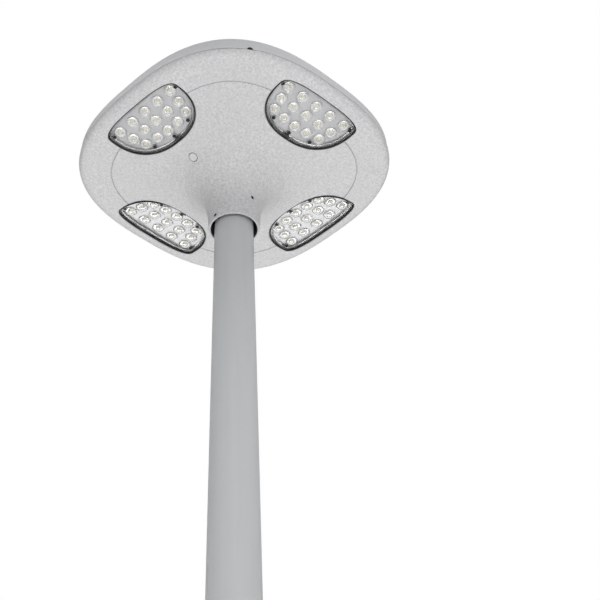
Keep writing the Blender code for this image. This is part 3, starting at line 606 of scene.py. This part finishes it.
def make_pole():
    low, high = box_mm("pole_shaft")
    top_radius = POLE_FOOT - POLE_TAPER * (high.z - low.z)
    profile = rounded([(POLE_FOOT, low.z), (top_radius, high.z), (top_radius - POLE_WALL, high.z),
                       (POLE_FOOT - POLE_WALL, low.z)], 0.8, closed=True)
    tube = turned(bmesh.new(), profile, 160, loop=True)
    add("pole_tube", tube, "pole", "pole_paint", "pole_shaft", body="pole", place=GROUND)

    bead_radius, bead_sides, ripples, ripple_steps = 3.6, 8, 72, 4
    rings = []
    for i in range(bead_sides):
        turn = 2 * pi * i / bead_sides
        ring = []
        for k in range(ripples * ripple_steps):
            angle = 2 * pi * k / (ripples * ripple_steps)
            size = bead_radius * (1 + 0.10 * sin(ripples * angle))
            radius = POLE_FOOT + 1.2 + size * cos(turn)
            level = low.z + 1.6 + size * max(sin(turn), -0.4)
            ring.append(Vector((radius * cos(angle), radius * sin(angle), level)))
        rings.append(ring)
    bead = bridge_rings(bmesh.new(), rings, loop=True)
    add("pole_foot_weld", bead, "weld", "pole_paint", body="pole", place=GROUND, sharp_angle=70)


def add_rib(builder, turn, inner_low, rib_height):
    """A triangular rib between the flange and the pole, thinned a little at its faces' edges."""
    inner_high = inner_low - POLE_TAPER * rib_height
    outer, foot, top = inner_low + RIB_LENGTH, FLANGE_TOP - 2.0, FLANGE_TOP + rib_height
    side_view = rounded([(inner_low, foot), (outer, foot), (outer, FLANGE_TOP + RIB_END_HEIGHT),
                         (inner_high + 14, top), (inner_high, top)], 5.0, closed=True)
    middle = Vector([sum(values) / len(side_view) for values in zip(*side_view)])
    flat = RIB_HALF_WIDTH - 0.8
    rings = []
    for y, share in ((-RIB_HALF_WIDTH, 0.97), (-flat, 1.0), (flat, 1.0), (RIB_HALF_WIDTH, 0.97)):
        rings.append([turn @ Vector((middle.x + (x - middle.x) * share, y,
                                     middle.y + (z - middle.y) * share)) for x, z in side_view])
    bridge_rings(builder, rings)


def add_rib_weld(builder, turn, side, start):
    """A rippled weld along the foot of a rib's face, thinner at both ends."""
    length, steps, sides = RIB_LENGTH - 2.0, 80, 8
    rings = []
    for k in range(steps + 1):
        along = start + length * k / steps
        thinned = min(1.0, 0.35 + k * 0.2, 0.35 + (steps - k) * 0.2)
        size = 3.4 * (1 + 0.12 * sin(k * 1.25)) * thinned
        ring = []
        for i in range(sides):
            at = 2 * pi * i / sides
            across = side * (RIB_HALF_WIDTH + 0.35 * size + size * 0.8 * cos(at))
            level = FLANGE_TOP + 0.25 * size + 0.8 * size * sin(at)
            ring.append(turn @ Vector((along, across, level)))
        rings.append(ring)
    bridge_rings(builder, rings)


def flange_hole(builder, radius, flare_low, flare_high, inset, sides, place=GROUND):
    """A cutter for a hole through the flange, flared over the inset at both faces to break its edges."""
    turned(builder, [(radius + flare_low, -5), (radius + flare_low, -0.001), (radius, inset),
                     (radius, FLANGE_TOP - inset), (radius + flare_high, FLANGE_TOP + 0.5),
                     (radius + flare_high, FLANGE_TOP + 3)], sides, place)


def make_base_flange():
    low, high = box_mm("base_flange")
    side, rib_height = high.x - low.x, high.z - FLANGE_TOP
    outline = rectangle(side, side, FLANGE_CORNER, steps=12)
    inset = rectangle(side - 3.0, side - 3.0, FLANGE_CORNER - 1.5, steps=12)
    plate = stacked(bmesh.new(), [(inset, 0), (outline, 1.2), (outline, FLANGE_TOP - 1.5),
                                  (inset, FLANGE_TOP)])
    flange = mesh_object("base_plate", plate, "pole")

    rib_start = POLE_FOOT + 0.6
    rib_turns = [Matrix.Rotation(radians(angle), 4, "Z") for angle in RIB_ANGLES]
    ribs = bmesh.new()
    for turn in rib_turns:
        add_rib(ribs, turn, rib_start, rib_height)
    carve(flange, "UNION", cutter(ribs, GROUND))

    holes = bmesh.new()
    flange_hole(holes, CABLE_HOLE_RADIUS, 2.0, 2.0, 1.5, 96)
    for x, y in four_corners(ANCHOR_AT, ANCHOR_AT):
        flange_hole(holes, ANCHOR_HOLE_RADIUS, 1.5, 1.7, 1.2, 48, shifted(x, y))
    cut(flange, holes, GROUND)
    piece(flange, "pole", "pole_paint", "base_flange")

    beads = bmesh.new()
    for turn in rib_turns:
        for side_of_rib in (-1, 1):
            add_rib_weld(beads, turn, side_of_rib, rib_start)
    add("rib_welds", beads, "weld", "pole_paint", body="pole", place=GROUND, sharp_angle=70)


# -------- lower housing

def grooved(sections):
    """The sections with the thin ring groove, and a faint crease where the funnel begins, let in."""
    for middle, half_width, groove_depth in GROOVES:
        sections = [s for s in sections if abs(s[0] - middle) > half_width + 0.4]
        for offset, depth in ((-1.35, 0.0), (-1.0, 0.0), (-0.55, 0.85), (0.0, 1.0), (0.55, 0.85), (1.0, 0.0),
                              (1.35, 0.0)):
            half_side, exponent, level, lift = section_at(middle + offset * half_width)
            sections.append((half_side, exponent, level + depth * groove_depth, lift))
    return sorted(sections, key=lambda s: s[0])


def surface_cutter(place, rings):
    """A cutter for a window, from (shrink, depth, whether that is below the underside's face) rings."""
    outlines = []
    for shrink, depth, from_face in rings:
        ring = []
        for x, y in window_outline(shrink):
            w = surface_depth(place, x, y) + depth if from_face else depth
            ring.append(place @ Vector((x, y, w)))
        outlines.append(ring)
    return bridge_rings(bmesh.new(), outlines)


def housing_profile():
    """Sections of the shell: collar lip, underside, rim, inner face, and the socket for the pole top."""
    lip = [(BORE_MOUTH, -127.3), (36.9, -128.0), (37.6, COLLAR_MOUTH), (38.8, COLLAR_MOUTH), (39.4, -128.0)]
    profile = [(radius, 2.0, level, 0.0) for radius, level in lip]
    profile += [s for s in grooved(FINE_UNDERSIDE) if s[2] > -127.6 or s[0] > 45]
    profile += [(230.9, RIM_EXPONENT, RIM_LEVEL + 0.3, 0.0), (228.6, RIM_EXPONENT, RIM_LEVEL + 0.3, 0.0),
                (226.7, 2.66, 18.0, 0.0), (224.3, 2.66, 18.0, 0.0)]
    inner = [s for s in wall_offset(FINE_UNDERSIDE, SHELL_WALL) if 45.0 < s[0] < 226.0 and s[2] < RIM_LEVEL]
    profile += inner[::-2]
    roof = box_mm("pole_shaft")[1].z - LED_LEVEL + 0.3
    socket = [(SOCKET_WALL, -70.0), (SOCKET_WALL, roof + SOCKET_ROOF), (WIRE_HOLE, roof + SOCKET_ROOF),
              (WIRE_HOLE, roof), (BORE_TOP, roof)]
    return profile + [(radius, 2.0, level, 0.0) for radius, level in socket]


def cut_windows(housing):
    """Adds the four cups that hold the LED modules, and opens them through the underside."""
    cup = [(-SHELL_WALL, 1.5, True), (-SHELL_WALL, POCKET_DEPTH + POCKET_FLOOR, False)]
    opening = [(-WINDOW_LIP - 1.5, -6.0, True), (-WINDOW_LIP - 0.2, -0.35, True)]
    for turn in (15, 33, 51, 70, 90):
        angle = radians(turn)
        opening.append((-WINDOW_LIP * (1 - sin(angle)), WINDOW_LIP * (1 - cos(angle)), True))
    opening.append((0.0, POCKET_DEPTH, False))
    for angle in MODULE_ANGLES:
        for operation, rings in (("UNION", cup), ("DIFFERENCE", opening)):
            carve(housing, operation, cutter(surface_cutter(module_place(angle), rings)))


def make_lower_housing():
    shell = bridge_rings(bmesh.new(), [section_ring(s) for s in housing_profile()], loop=True)
    housing = mesh_object("housing_shell", shell, "housing", HEAD)
    cut_windows(housing)

    cuts = bmesh.new()
    hole = BUTTON_HOLE_RADIUS
    turned(cuts, [(hole + 1.7, -3), (hole + 0.7, -0.3), (hole + 0.1, 0.25), (hole, 1.0), (hole, 8)], 64,
           button_place() @ FLIP)
    hole = SET_SCREW_HOLE_RADIUS
    for angle, level, radius in SET_SCREWS:
        turned(cuts, [(hole, 34), (hole, radius - 0.5), (hole + 0.7, radius + 0.3),
                      (hole + 0.7, radius + 8)], 32, set_screw_place(angle, level))
    cut(housing, cuts)

    # The faces inside the collar's bore take a near-black colour: painted shade for the deep shadow in the
    # gap around the pole.
    housing.data.materials.append(LOOKS["bore"])
    bore_radius, bore_start = (BORE_MOUTH + 0.1) * MM, (LED_LEVEL + COLLAR_MOUTH + 1.5) * MM
    for face in housing.data.polygons:
        if hypot(face.center.x, face.center.y) < bore_radius and face.center.z > bore_start:
            face.material_index = 1
    piece(housing, "head", "head_paint", "lower_housing")


def make_gasket():
    profile = rounded([(229.6, 10.4), (229.6, 11.6), (227.2, 11.6), (227.2, 10.4)], 0.35, 2, closed=True)
    rings = [section_ring((radius, RIM_EXPONENT, level, 0.0)) for radius, level in profile]
    add("shell_seal", bridge_rings(bmesh.new(), rings, loop=True), "rubber", "seal_rubber", "cover_gasket")


# -------- top cover

def make_top_cover():
    low = COVER_OUTSIDE[0][2]
    edge, exponent, edge_level, _ = COVER_OUTSIDE[-1]
    profile = [(229.8, RIM_EXPONENT, low + 0.6, 0.0), (230.1, RIM_EXPONENT, low, 0.0),
               (231.1, RIM_EXPONENT, low, 0.0)]
    profile += smooth_sections(COVER_OUTSIDE, 4)
    for turn in (15, 30, 45, 60, 75, 90):
        angle = radians(turn)
        profile.append((edge - COVER_EDGE_RADIUS * (1 - cos(angle)), exponent,
                        edge_level + COVER_EDGE_RADIUS * sin(angle), 0.0))
    profile.append((222.0, exponent, COVER_TOP, 0.0))
    shell = bridge_rings(bmesh.new(), [section_ring(s) for s in profile])
    cover = mesh_object("cover_shell", shell, "cover", HEAD)

    hollow = bridge_rings(bmesh.new(), [section_ring((229.2, RIM_EXPONENT, low - 3, 0.0)),
                                        section_ring((224.0, 2.76, COVER_INSIDE_TOP, 0.0))])
    inside = cutter(hollow)
    tub = rectangle(PANEL_RECESS_SIDE + 9.4, PANEL_RECESS_SIDE + 9.4, 6.0)
    kept = stacked(bmesh.new(), [(tub, RECESS_FLOOR - 2.7), (tub, 60)])
    cut(inside, kept)
    carve(cover, "DIFFERENCE", inside)

    opening = rectangle(PANEL_RECESS_SIDE, PANEL_RECESS_SIDE, 1.5)
    flare = rectangle(PANEL_RECESS_SIDE + 1.6, PANEL_RECESS_SIDE + 1.6, 2.3)
    recess = stacked(bmesh.new(), [(opening, RECESS_FLOOR), (opening, COVER_TOP - 0.9),
                                   (flare, COVER_TOP + 0.05), (flare, COVER_TOP + 20)])
    cut(cover, recess)

    holes = bmesh.new()
    for x, y in four_corners(*COVER_SCREW_AT) + four_corners(*CLIP_SCREW_AT):
        top_screw_hole(holes, x, y)
    x, y = DRAIN_AT
    turned(holes, [(DRAIN_RADIUS + 0.3, -14), (DRAIN_RADIUS + 0.3, 10)], 48,
           place_along((x, y, low - 0.3), (x, y, 0)))
    cut(cover, holes)
    piece(cover, "head", "head_paint", "top_cover")


def make_drain_plug():
    """A half-round plug with a dished face, in the notch of the cover's edge."""
    outward = Vector((*DRAIN_AT, 0)).normalized()
    along = Vector((-outward.y, outward.x, 0))
    foot = Vector((*DRAIN_AT, 11.8))
    arc = [(cos(pi * i / 24), sin(pi * i / 24)) for i in range(25)]
    rim = DRAIN_RADIUS - 0.4
    rings = []
    for radius, depth in ((rim, -5.6), (DRAIN_RADIUS, -5.2), (DRAIN_RADIUS, -2.8), (rim, -2.4), (2.4, -2.4),
                          (2.2, -3.2)):
        rings.append([foot + along * (radius * u) + outward * depth + Vector((0, 0, radius * v + 0.05))
                      for u, v in arc])
    add("drain_plug", bridge_rings(bmesh.new(), rings), "rubber", "seal_rubber", "rim_drain_plug")


# -------- LED modules

def lens_zone(point):
    """0 on the flat plate of a lens cover, 1 on the raised rim around it, 2 on the domes."""
    if point.z > PLATE_LOW - 0.1:
        return 0
    shrink = RIM_WIDTH + 2.0
    reach, power = ((WINDOW_OUTER_REACH, WINDOW_OUTER_EXPONENT) if point.x >= 0
                    else (WINDOW_INNER_REACH, WINDOW_INNER_EXPONENT))
    along, across = abs(point.x) / (reach - shrink), abs(point.y) / (WINDOW_HALF_WIDTH - shrink)
    if along ** power + across ** power > 1:
        return 1
    on_dome = any(hypot(point.x - x, point.y - y) < LENS_RADIUS for x, y in LENS_CENTRES)
    return 2 if on_dome else 0


def make_lens_plate():
    """A plate with a raised rim, fifteen lenses hollow over their LEDs, and bosses for the screws."""
    clearance = 0.8
    profile = rounded([(clearance, PLATE_HIGH), (clearance, RIM_DEPTH), (clearance + RIM_WIDTH, RIM_DEPTH),
                       (clearance + RIM_WIDTH + 0.8, PLATE_LOW)], 0.9, 3)
    body = stacked(bmesh.new(), [(window_outline(shrink), depth) for shrink, depth in profile])
    plate = mesh_object("lens_plate", body, None)

    sphere = (LENS_RADIUS ** 2 + LENS_HEIGHT ** 2) / (2 * LENS_HEIGHT)
    span = asin(LENS_RADIUS / sphere)
    dome = [(LENS_RADIUS, (PLATE_LOW + PLATE_HIGH) / 2)]
    for step in range(9):
        angle = span * (1 - step / 8.6)
        height = sphere * cos(angle) - sphere + LENS_HEIGHT
        dome.append((sphere * sin(angle), PLATE_LOW - height))
    cavity = rounded([(CAVITY_RADIUS, PLATE_HIGH + 1), (CAVITY_RADIUS, PLATE_HIGH - 0.9),
                      (2.6, PLATE_HIGH - 1.9), (0.2, PLATE_HIGH - CAVITY_HEIGHT)], 0.8, 4)
    boss = [(BOSS_RADIUS, PLATE_LOW + 1), (BOSS_RADIUS, PLATE_LOW - BOSS_HEIGHT + 0.3),
            (BOSS_RADIUS - 0.3, PLATE_LOW - BOSS_HEIGHT)]
    for operation, shape, sides, centres in (("UNION", boss, 32, MODULE_SCREWS),
                                             ("UNION", dome, 40, LENS_CENTRES),
                                             ("DIFFERENCE", cavity, 28, LENS_CENTRES)):
        shapes = bmesh.new()
        for x, y in centres:
            turned(shapes, shape, sides, shifted(x, y))
        carve(plate, operation, cutter(shapes, GROUND))
    return plate


def make_lens_covers():
    plate = make_lens_plate()
    for number, angle in enumerate(MODULE_ANGLES, 1):
        builder = bmesh.new()
        builder.from_mesh(plate.data)
        bmesh.ops.scale(builder, vec=(1 / MM,) * 3, verts=builder.verts)
        for face in builder.faces:
            face.material_index = lens_zone(face.calc_center_median())
        lens = mesh_object(f"lens_array_{number}", builder, "lens", HEAD @ module_place(angle))
        lens.data.materials.append(LOOKS["lens_rim"])
        lens.data.materials.append(LOOKS["lens_dome"])
        piece(lens, "head", "lens_clear", f"lens_cover_{number}")
    bpy.data.objects.remove(plate, do_unlink=True)


def make_boards():
    """The four boards with their seals: a bead inside the window's edge, and a ring behind the rim. The bead
    is partly seal and partly painted shade: its black rubber is thickened over the pocket's wall, where that
    wall lies in shadow.
    """
    outline, inset, edge = window_outline(4.2), window_outline(4.4), 0.3
    low, high, lining = 0.6, RIM_DEPTH - 0.2, 8.0
    # The bead is 1.7 mm thick down to just above the lens rim: black rubber over the pocket's wall, partly a
    # real seal and partly painted shade for the wall's shadow.
    bead = rounded([(0.1, low), (0.1, lining), (0.7, lining), (0.7, high), (1.7, high), (1.7, low + 0.3),
                    (1.4, low)], 0.2, 2, closed=True)
    ring = rounded([(0.1, BOARD_LOW), (0.1, BOARD_HIGH), (3.6, BOARD_HIGH), (3.6, BOARD_LOW)], 0.25, 2,
                   closed=True)
    for number, angle in enumerate(MODULE_ANGLES, 1):
        place = HEAD @ module_place(angle)
        board = stacked(bmesh.new(), [(inset, BOARD_HIGH), (outline, BOARD_HIGH - edge),
                                      (outline, BOARD_LOW + edge), (inset, BOARD_LOW)])
        add(f"module_board_{number}", board, "board", "led_board", f"led_board_{number}", place=place)

        seal = bmesh.new()
        for profile in (bead, ring):
            stacked(seal, [(window_outline(shrink), depth) for shrink, depth in profile], loop=True)
        add(f"window_seal_and_shade_{number}", seal, "rubber", "seal_rubber", f"module_gasket_{number}", place=place)


def make_leds():
    """A reflector ring, a base and a phosphor dome under each of the sixty lenses."""
    places = [HEAD @ module_place(angle) @ shifted(x, y)
              for angle in MODULE_ANGLES for x, y in LENS_CENTRES]
    front = BOARD_LOW - REFLECTOR_HEIGHT
    profile = rounded([(REFLECTOR_RADIUS, BOARD_LOW), (REFLECTOR_RADIUS, front), (REFLECTOR_HOLE, front),
                       (REFLECTOR_HOLE, BOARD_LOW)], 0.08, 1, closed=True)
    ring = turned(bmesh.new(), profile, 40, loop=True)
    copies("led_reflector_rings", ring, "white_ring", places, "led_board")

    face = BOARD_LOW - LED_BASE_HEIGHT
    base = block(bmesh.new(), LED_BASE_SIDE, LED_BASE_SIDE, (BOARD_LOW, face + 0.15, face), 0.4, 0.3, 0.4,
                 steps=2)
    copies("led_bases", base, "ceramic", places, "led_board")

    profile = [(2.4, 0.7), (2.3, 1.0), (1.7, 1.3), (0.9, 1.5), (0.05, 1.55)]
    dome = turned(bmesh.new(), [(radius, BOARD_LOW - height) for radius, height in profile], 24)
    copies("led_phosphor_domes", dome, "phosphor", places, "led_board")


def recess_ring(kind, size, height):
    """Outline of a drive recess in a screw head: a hexagon or a cross."""
    ring = []
    for i in range(SCREW_SIDES):
        angle = 2 * pi * i / SCREW_SIDES
        if kind == "hexagon":
            radius = size / cos((angle + pi / 6) % (pi / 3) - pi / 6)
        else:
            arm = size * 0.24
            radius = max(min(size, arm / max(abs(sin(angle)), 1e-6)),
                         min(size, arm / max(abs(cos(angle)), 1e-6)))
        ring.append(Vector((radius * cos(angle), radius * sin(angle), height)))
    return ring


def cross_screw(radius, height, shank_radius, shank_length):
    """A pan-head screw with a cross recess, its seat at height 0 and its head upwards."""
    profile = [(shank_radius * 0.7, -shank_length), (shank_radius, -shank_length + 0.6), (shank_radius, 0),
               (radius - 0.15, 0), (radius, 0.2)]
    for turn in (0, 22, 44, 66):
        angle = radians(turn)
        profile.append((radius * (0.62 + 0.38 * cos(angle)), height * (0.35 + 0.65 * sin(angle))))
    profile.append((radius * 0.62, height))
    rings = [circle(r, level, SCREW_SIDES) for r, level in profile]
    rings += [recess_ring("cross", radius * 0.5, height), recess_ring("cross", radius * 0.42, height * 0.35)]
    return bridge_rings(bmesh.new(), rings)


def make_module_fittings():
    seat = PLATE_LOW - BOSS_HEIGHT
    places = [HEAD @ module_place(angle) @ shifted(x, y, seat) @ FLIP
              for angle in MODULE_ANGLES for x, y in MODULE_SCREWS]
    copies("module_screws", cross_screw(3.1, 2.0, 1.4, 1.0), "dark_screw", places, "screw_dark")

    tab = block(bmesh.new(), *TAB_SIZE, TAB_DEPTHS, 0.8, 0.6, 0.5, TAB_AT)
    places = [HEAD @ module_place(angle) for angle in MODULE_ANGLES]
    copies("module_locating_tabs", tab, "black", places, "black_plastic")


# -------- solar panel

def make_panel():
    """Backsheet, cells in two columns of strips, busbars along them, and the glass on top."""
    outline = rectangle(PANEL_SIDE, PANEL_SIDE, 1.0)
    back = stacked(bmesh.new(), [(outline, level) for level in BACKSHEET_LEVELS])
    add("panel_back", back, "backsheet", "panel_backsheet", "panel_backsheet")

    pitch, column = CELL_FIELD_SIDE / CELL_ROWS, CELL_FIELD_SIDE / CELL_COLUMNS
    width, depth = column - CELL_GAP_ACROSS, pitch - CELL_GAP_ALONG
    cells = bmesh.new()
    for row in range(CELL_ROWS):
        for side in range(CELL_COLUMNS):
            centre = (column * (side + 0.5) - CELL_FIELD_SIDE / 2, pitch * (row + 0.5) - CELL_FIELD_SIDE / 2)
            block(cells, width, depth, CELL_LEVELS, 0.25, 0.2, 0.15, centre, 2)
    add("silicon_cells", cells, "cells", "panel_cells", "panel_cell_sheet")

    ribbons = bmesh.new()
    for x, width in BUSBARS:
        block(ribbons, width, CELL_FIELD_SIDE - 2, BUSBAR_LEVELS, 0.3, 0.3, 0.2, (x, 0), 2)
    add("panel_busbars", ribbons, "tabbing", "panel_cells")

    outline = rectangle(PANEL_SIDE, PANEL_SIDE, 1.5)
    inset = rectangle(PANEL_SIDE - 1.0, PANEL_SIDE - 1.0, 1.2)
    pane = stacked(bmesh.new(), list(zip((inset, outline, outline, inset), PANE_LEVELS)))
    add("panel_pane", pane, "glass", "panel_glass", "panel_glass")


def make_clips():
    for number, (x, y) in enumerate(four_corners(*CLIP_SCREW_AT), 1):
        plate = block(bmesh.new(), *CLIP_SIZE, CLIP_LEVELS, CLIP_CORNER, 1.6, CLIP_CORNER - 0.6,
                      (x, copysign(CLIP_MIDDLE, y)))
        clip = mesh_object(f"clip_plate_{number}", plate, "clip", HEAD)
        hole = top_screw_hole(bmesh.new(), x, y)
        cut(clip, hole)
        piece(clip, "head", "clip_white", f"panel_clip_{number}")


def make_top_screws():
    for name, at, level, radius, length in TOP_SCREWS:
        for number, (x, y) in enumerate(four_corners(*at), 1):
            screw = cross_screw(radius, 2.4, 1.9, length)
            add(f"{name}_fixing_{number}", screw, "dark_screw", "screw_dark", f"{name}_screw_{number}",
                place=HEAD @ shifted(x, y, level))


# -------- button and set screws

def make_button():
    """The crowned cap with its stem, and the socket that it presses into."""
    place = HEAD @ button_place() @ FLIP
    cap, stem = BUTTON_RADIUS, BUTTON_STEM_RADIUS
    profile = [(0.4, 0.25), (3.5, 0.2), (5.2, 0.05), (6.1, 0.0), (6.6, 0.15), (6.85, 0.55), (cap, 1.2),
               (cap, 4.0), (stem, 4.0), (stem, 11.5)]
    add("button_cap", turned(bmesh.new(), profile, 64), "button", "button_silicone", "power_button",
        body="power_button", place=place)

    profile = rounded([(8.1, 3.6), (11.0, 3.6), (11.0, 6.0), (9.2, 6.0), (9.2, 15.0), (3.4, 15.0),
                       (3.4, 8.0), (8.1, 8.0)], 0.3, 2, closed=True)
    socket = turned(bmesh.new(), profile, 64, loop=True)
    add("switch_socket", socket, "black", "black_plastic", "switch_body", place=place)


def make_set_screws():
    """Grub screws with a threaded side and a hexagon recess, from the pole's face outwards."""
    for number, (angle, level, radius) in enumerate(SET_SCREWS, 1):
        name = f"set_screw_{number}"
        low, high = box_mm(name)
        start = min(abs(v) for v in (low.x, high.x, low.y, high.y) if abs(v) > 20)
        end = radius - 0.6
        profile = [(1.4, start), (2.4, start + 1.2)]
        at = start + 1.6
        while at < end - 1.2:
            profile += [(THREAD_CREST, at), (THREAD_ROOT, at + THREAD_PITCH / 2)]
            at += THREAD_PITCH
        profile += [(THREAD_CREST, end - 0.5), (2.55, end)]
        rings = [circle(r, height, SCREW_SIDES) for r, height in profile]
        rings += [recess_ring("hexagon", 1.5, end), recess_ring("hexagon", 1.5, end - 3.0)]
        add(f"grub_screw_{number}", bridge_rings(bmesh.new(), rings), "dark_screw", "screw_dark", name,
            body=name, place=HEAD @ set_screw_place(angle, level))


# -------- pieces inside the head

INNER_FINISHES = {"battery_cell": "wrap", "battery_tray": "zinc", "battery_strap": "zinc",
                  "charge_controller": "case", "junction_box": "black", "_lead": "sheath"}


def dress_inner_nodes():
    """The closed-in pieces keep their CAD shape, and take a better finish."""
    for name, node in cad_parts.items():
        for part, look in INNER_FINISHES.items():
            if part in name:
                node.data.materials.clear()
                node.data.materials.append(LOOKS[look])


# -------- camera, light and floor

CAMERA_HEADING, CAMERA_TILT = (0.6774, 0.7357, 0.0), 39.88     # direction in plan; degrees upwards
CAMERA_DISTANCE, CAMERA_DROP = 1.795, 1.771        # metres from the axis, and below the LED level
CAMERA_LENS, SENSOR_WIDTH, CAMERA_SHIFT = 93.19, 36.0, 0.11
FLOOR_SIDE, FLOOR_CORNER = 28000.0, 400.0
SKY_HORIZON, SKY_ZENITH, SKY_POWER = 0.18, 4.0, 5.0
# name, place and target in metres, size, power
SOFTBOXES = [("front_fill", (-1.17, -2.46, 2.5), (0, 0, 2.85), 1.6, 13),
             ("low_fill", (-0.7, -3.2, 0.6), (0, 0, 3.0), 1.8, 7),
             ("back_panel", (2.03, 2.21, 1.35), (0, 0, 3.0), 2.4, 14)]


def make_sky():
    """A sky that lights the lamp from overhead and is plain white where the camera sees it."""
    world = bpy.data.worlds.new("studio")
    world.use_nodes = True
    background = world.node_tree.nodes["Background"]
    direction = add_node(world, "TexCoord", {})
    axes = add_node(world, "SeparateXYZ", {})
    height = add_node(world, "Math", {1: 0.0})
    height.operation, height.use_clamp = "MAXIMUM", True
    rise = add_node(world, "Math", {1: SKY_POWER})
    rise.operation = "POWER"
    strength = add_node(world, "MapRange", {"To Min": SKY_HORIZON, "To Max": SKY_ZENITH})
    seen = add_node(world, "LightPath", {})
    pick = add_node(world, "Mix", {3: 1.0})
    link(world, direction.outputs["Generated"], axes.inputs[0])
    link(world, axes.outputs["Z"], height.inputs[0])
    link(world, height.outputs[0], rise.inputs[0])
    link(world, rise.outputs[0], strength.inputs["Value"])
    link(world, seen.outputs["Is Camera Ray"], pick.inputs[0])
    link(world, strength.outputs["Result"], pick.inputs[2])
    link(world, pick.outputs[0], background.inputs["Strength"])
    set_values(background, {"Color": (1, 1, 1, 1)})
    bpy.context.scene.world = world


def make_stage():
    outline = rectangle(FLOOR_SIDE, FLOOR_SIDE, FLOOR_CORNER)
    mesh_object("floor", stacked(bmesh.new(), [(outline, -20), (outline, -0.2)]), "floor")

    make_sky()
    bpy.context.scene.view_settings.view_transform = "Standard"

    for name, place, target, size, power in SOFTBOXES:
        light = bpy.data.lights.new(name, "AREA")
        light.shape, light.size, light.energy = "DISK", size, power
        lamp = bpy.data.objects.new(name, light)
        lamp.visible_camera = False
        lamp.location = place
        lamp.rotation_euler = (Vector(target) - Vector(place)).to_track_quat("-Z", "Y").to_euler()
        bpy.context.scene.collection.objects.link(lamp)


def make_camera():
    heading, tilt = Vector(CAMERA_HEADING), radians(CAMERA_TILT)
    camera = bpy.data.cameras.new("camera")
    camera.lens, camera.sensor_width, camera.shift_x = CAMERA_LENS, SENSOR_WIDTH, CAMERA_SHIFT
    camera.clip_start, camera.clip_end = 0.05, 100.0
    holder = bpy.data.objects.new("camera", camera)
    holder.location = -CAMERA_DISTANCE * heading + Vector((0, 0, LED_LEVEL * MM - CAMERA_DROP))
    forward = heading * cos(tilt) + Vector((0, 0, sin(tilt)))
    holder.rotation_euler = forward.to_track_quat("-Z", "Y").to_euler()
    bpy.context.scene.collection.objects.link(holder)
    bpy.context.scene.camera = holder


make_camera()
make_pole()
make_base_flange()
make_lower_housing()
make_gasket()
make_top_cover()
make_drain_plug()
make_lens_covers()
make_boards()
make_leds()
make_module_fittings()
make_panel()
make_clips()
make_top_screws()
make_button()
make_set_screws()
dress_inner_nodes()
make_stage()
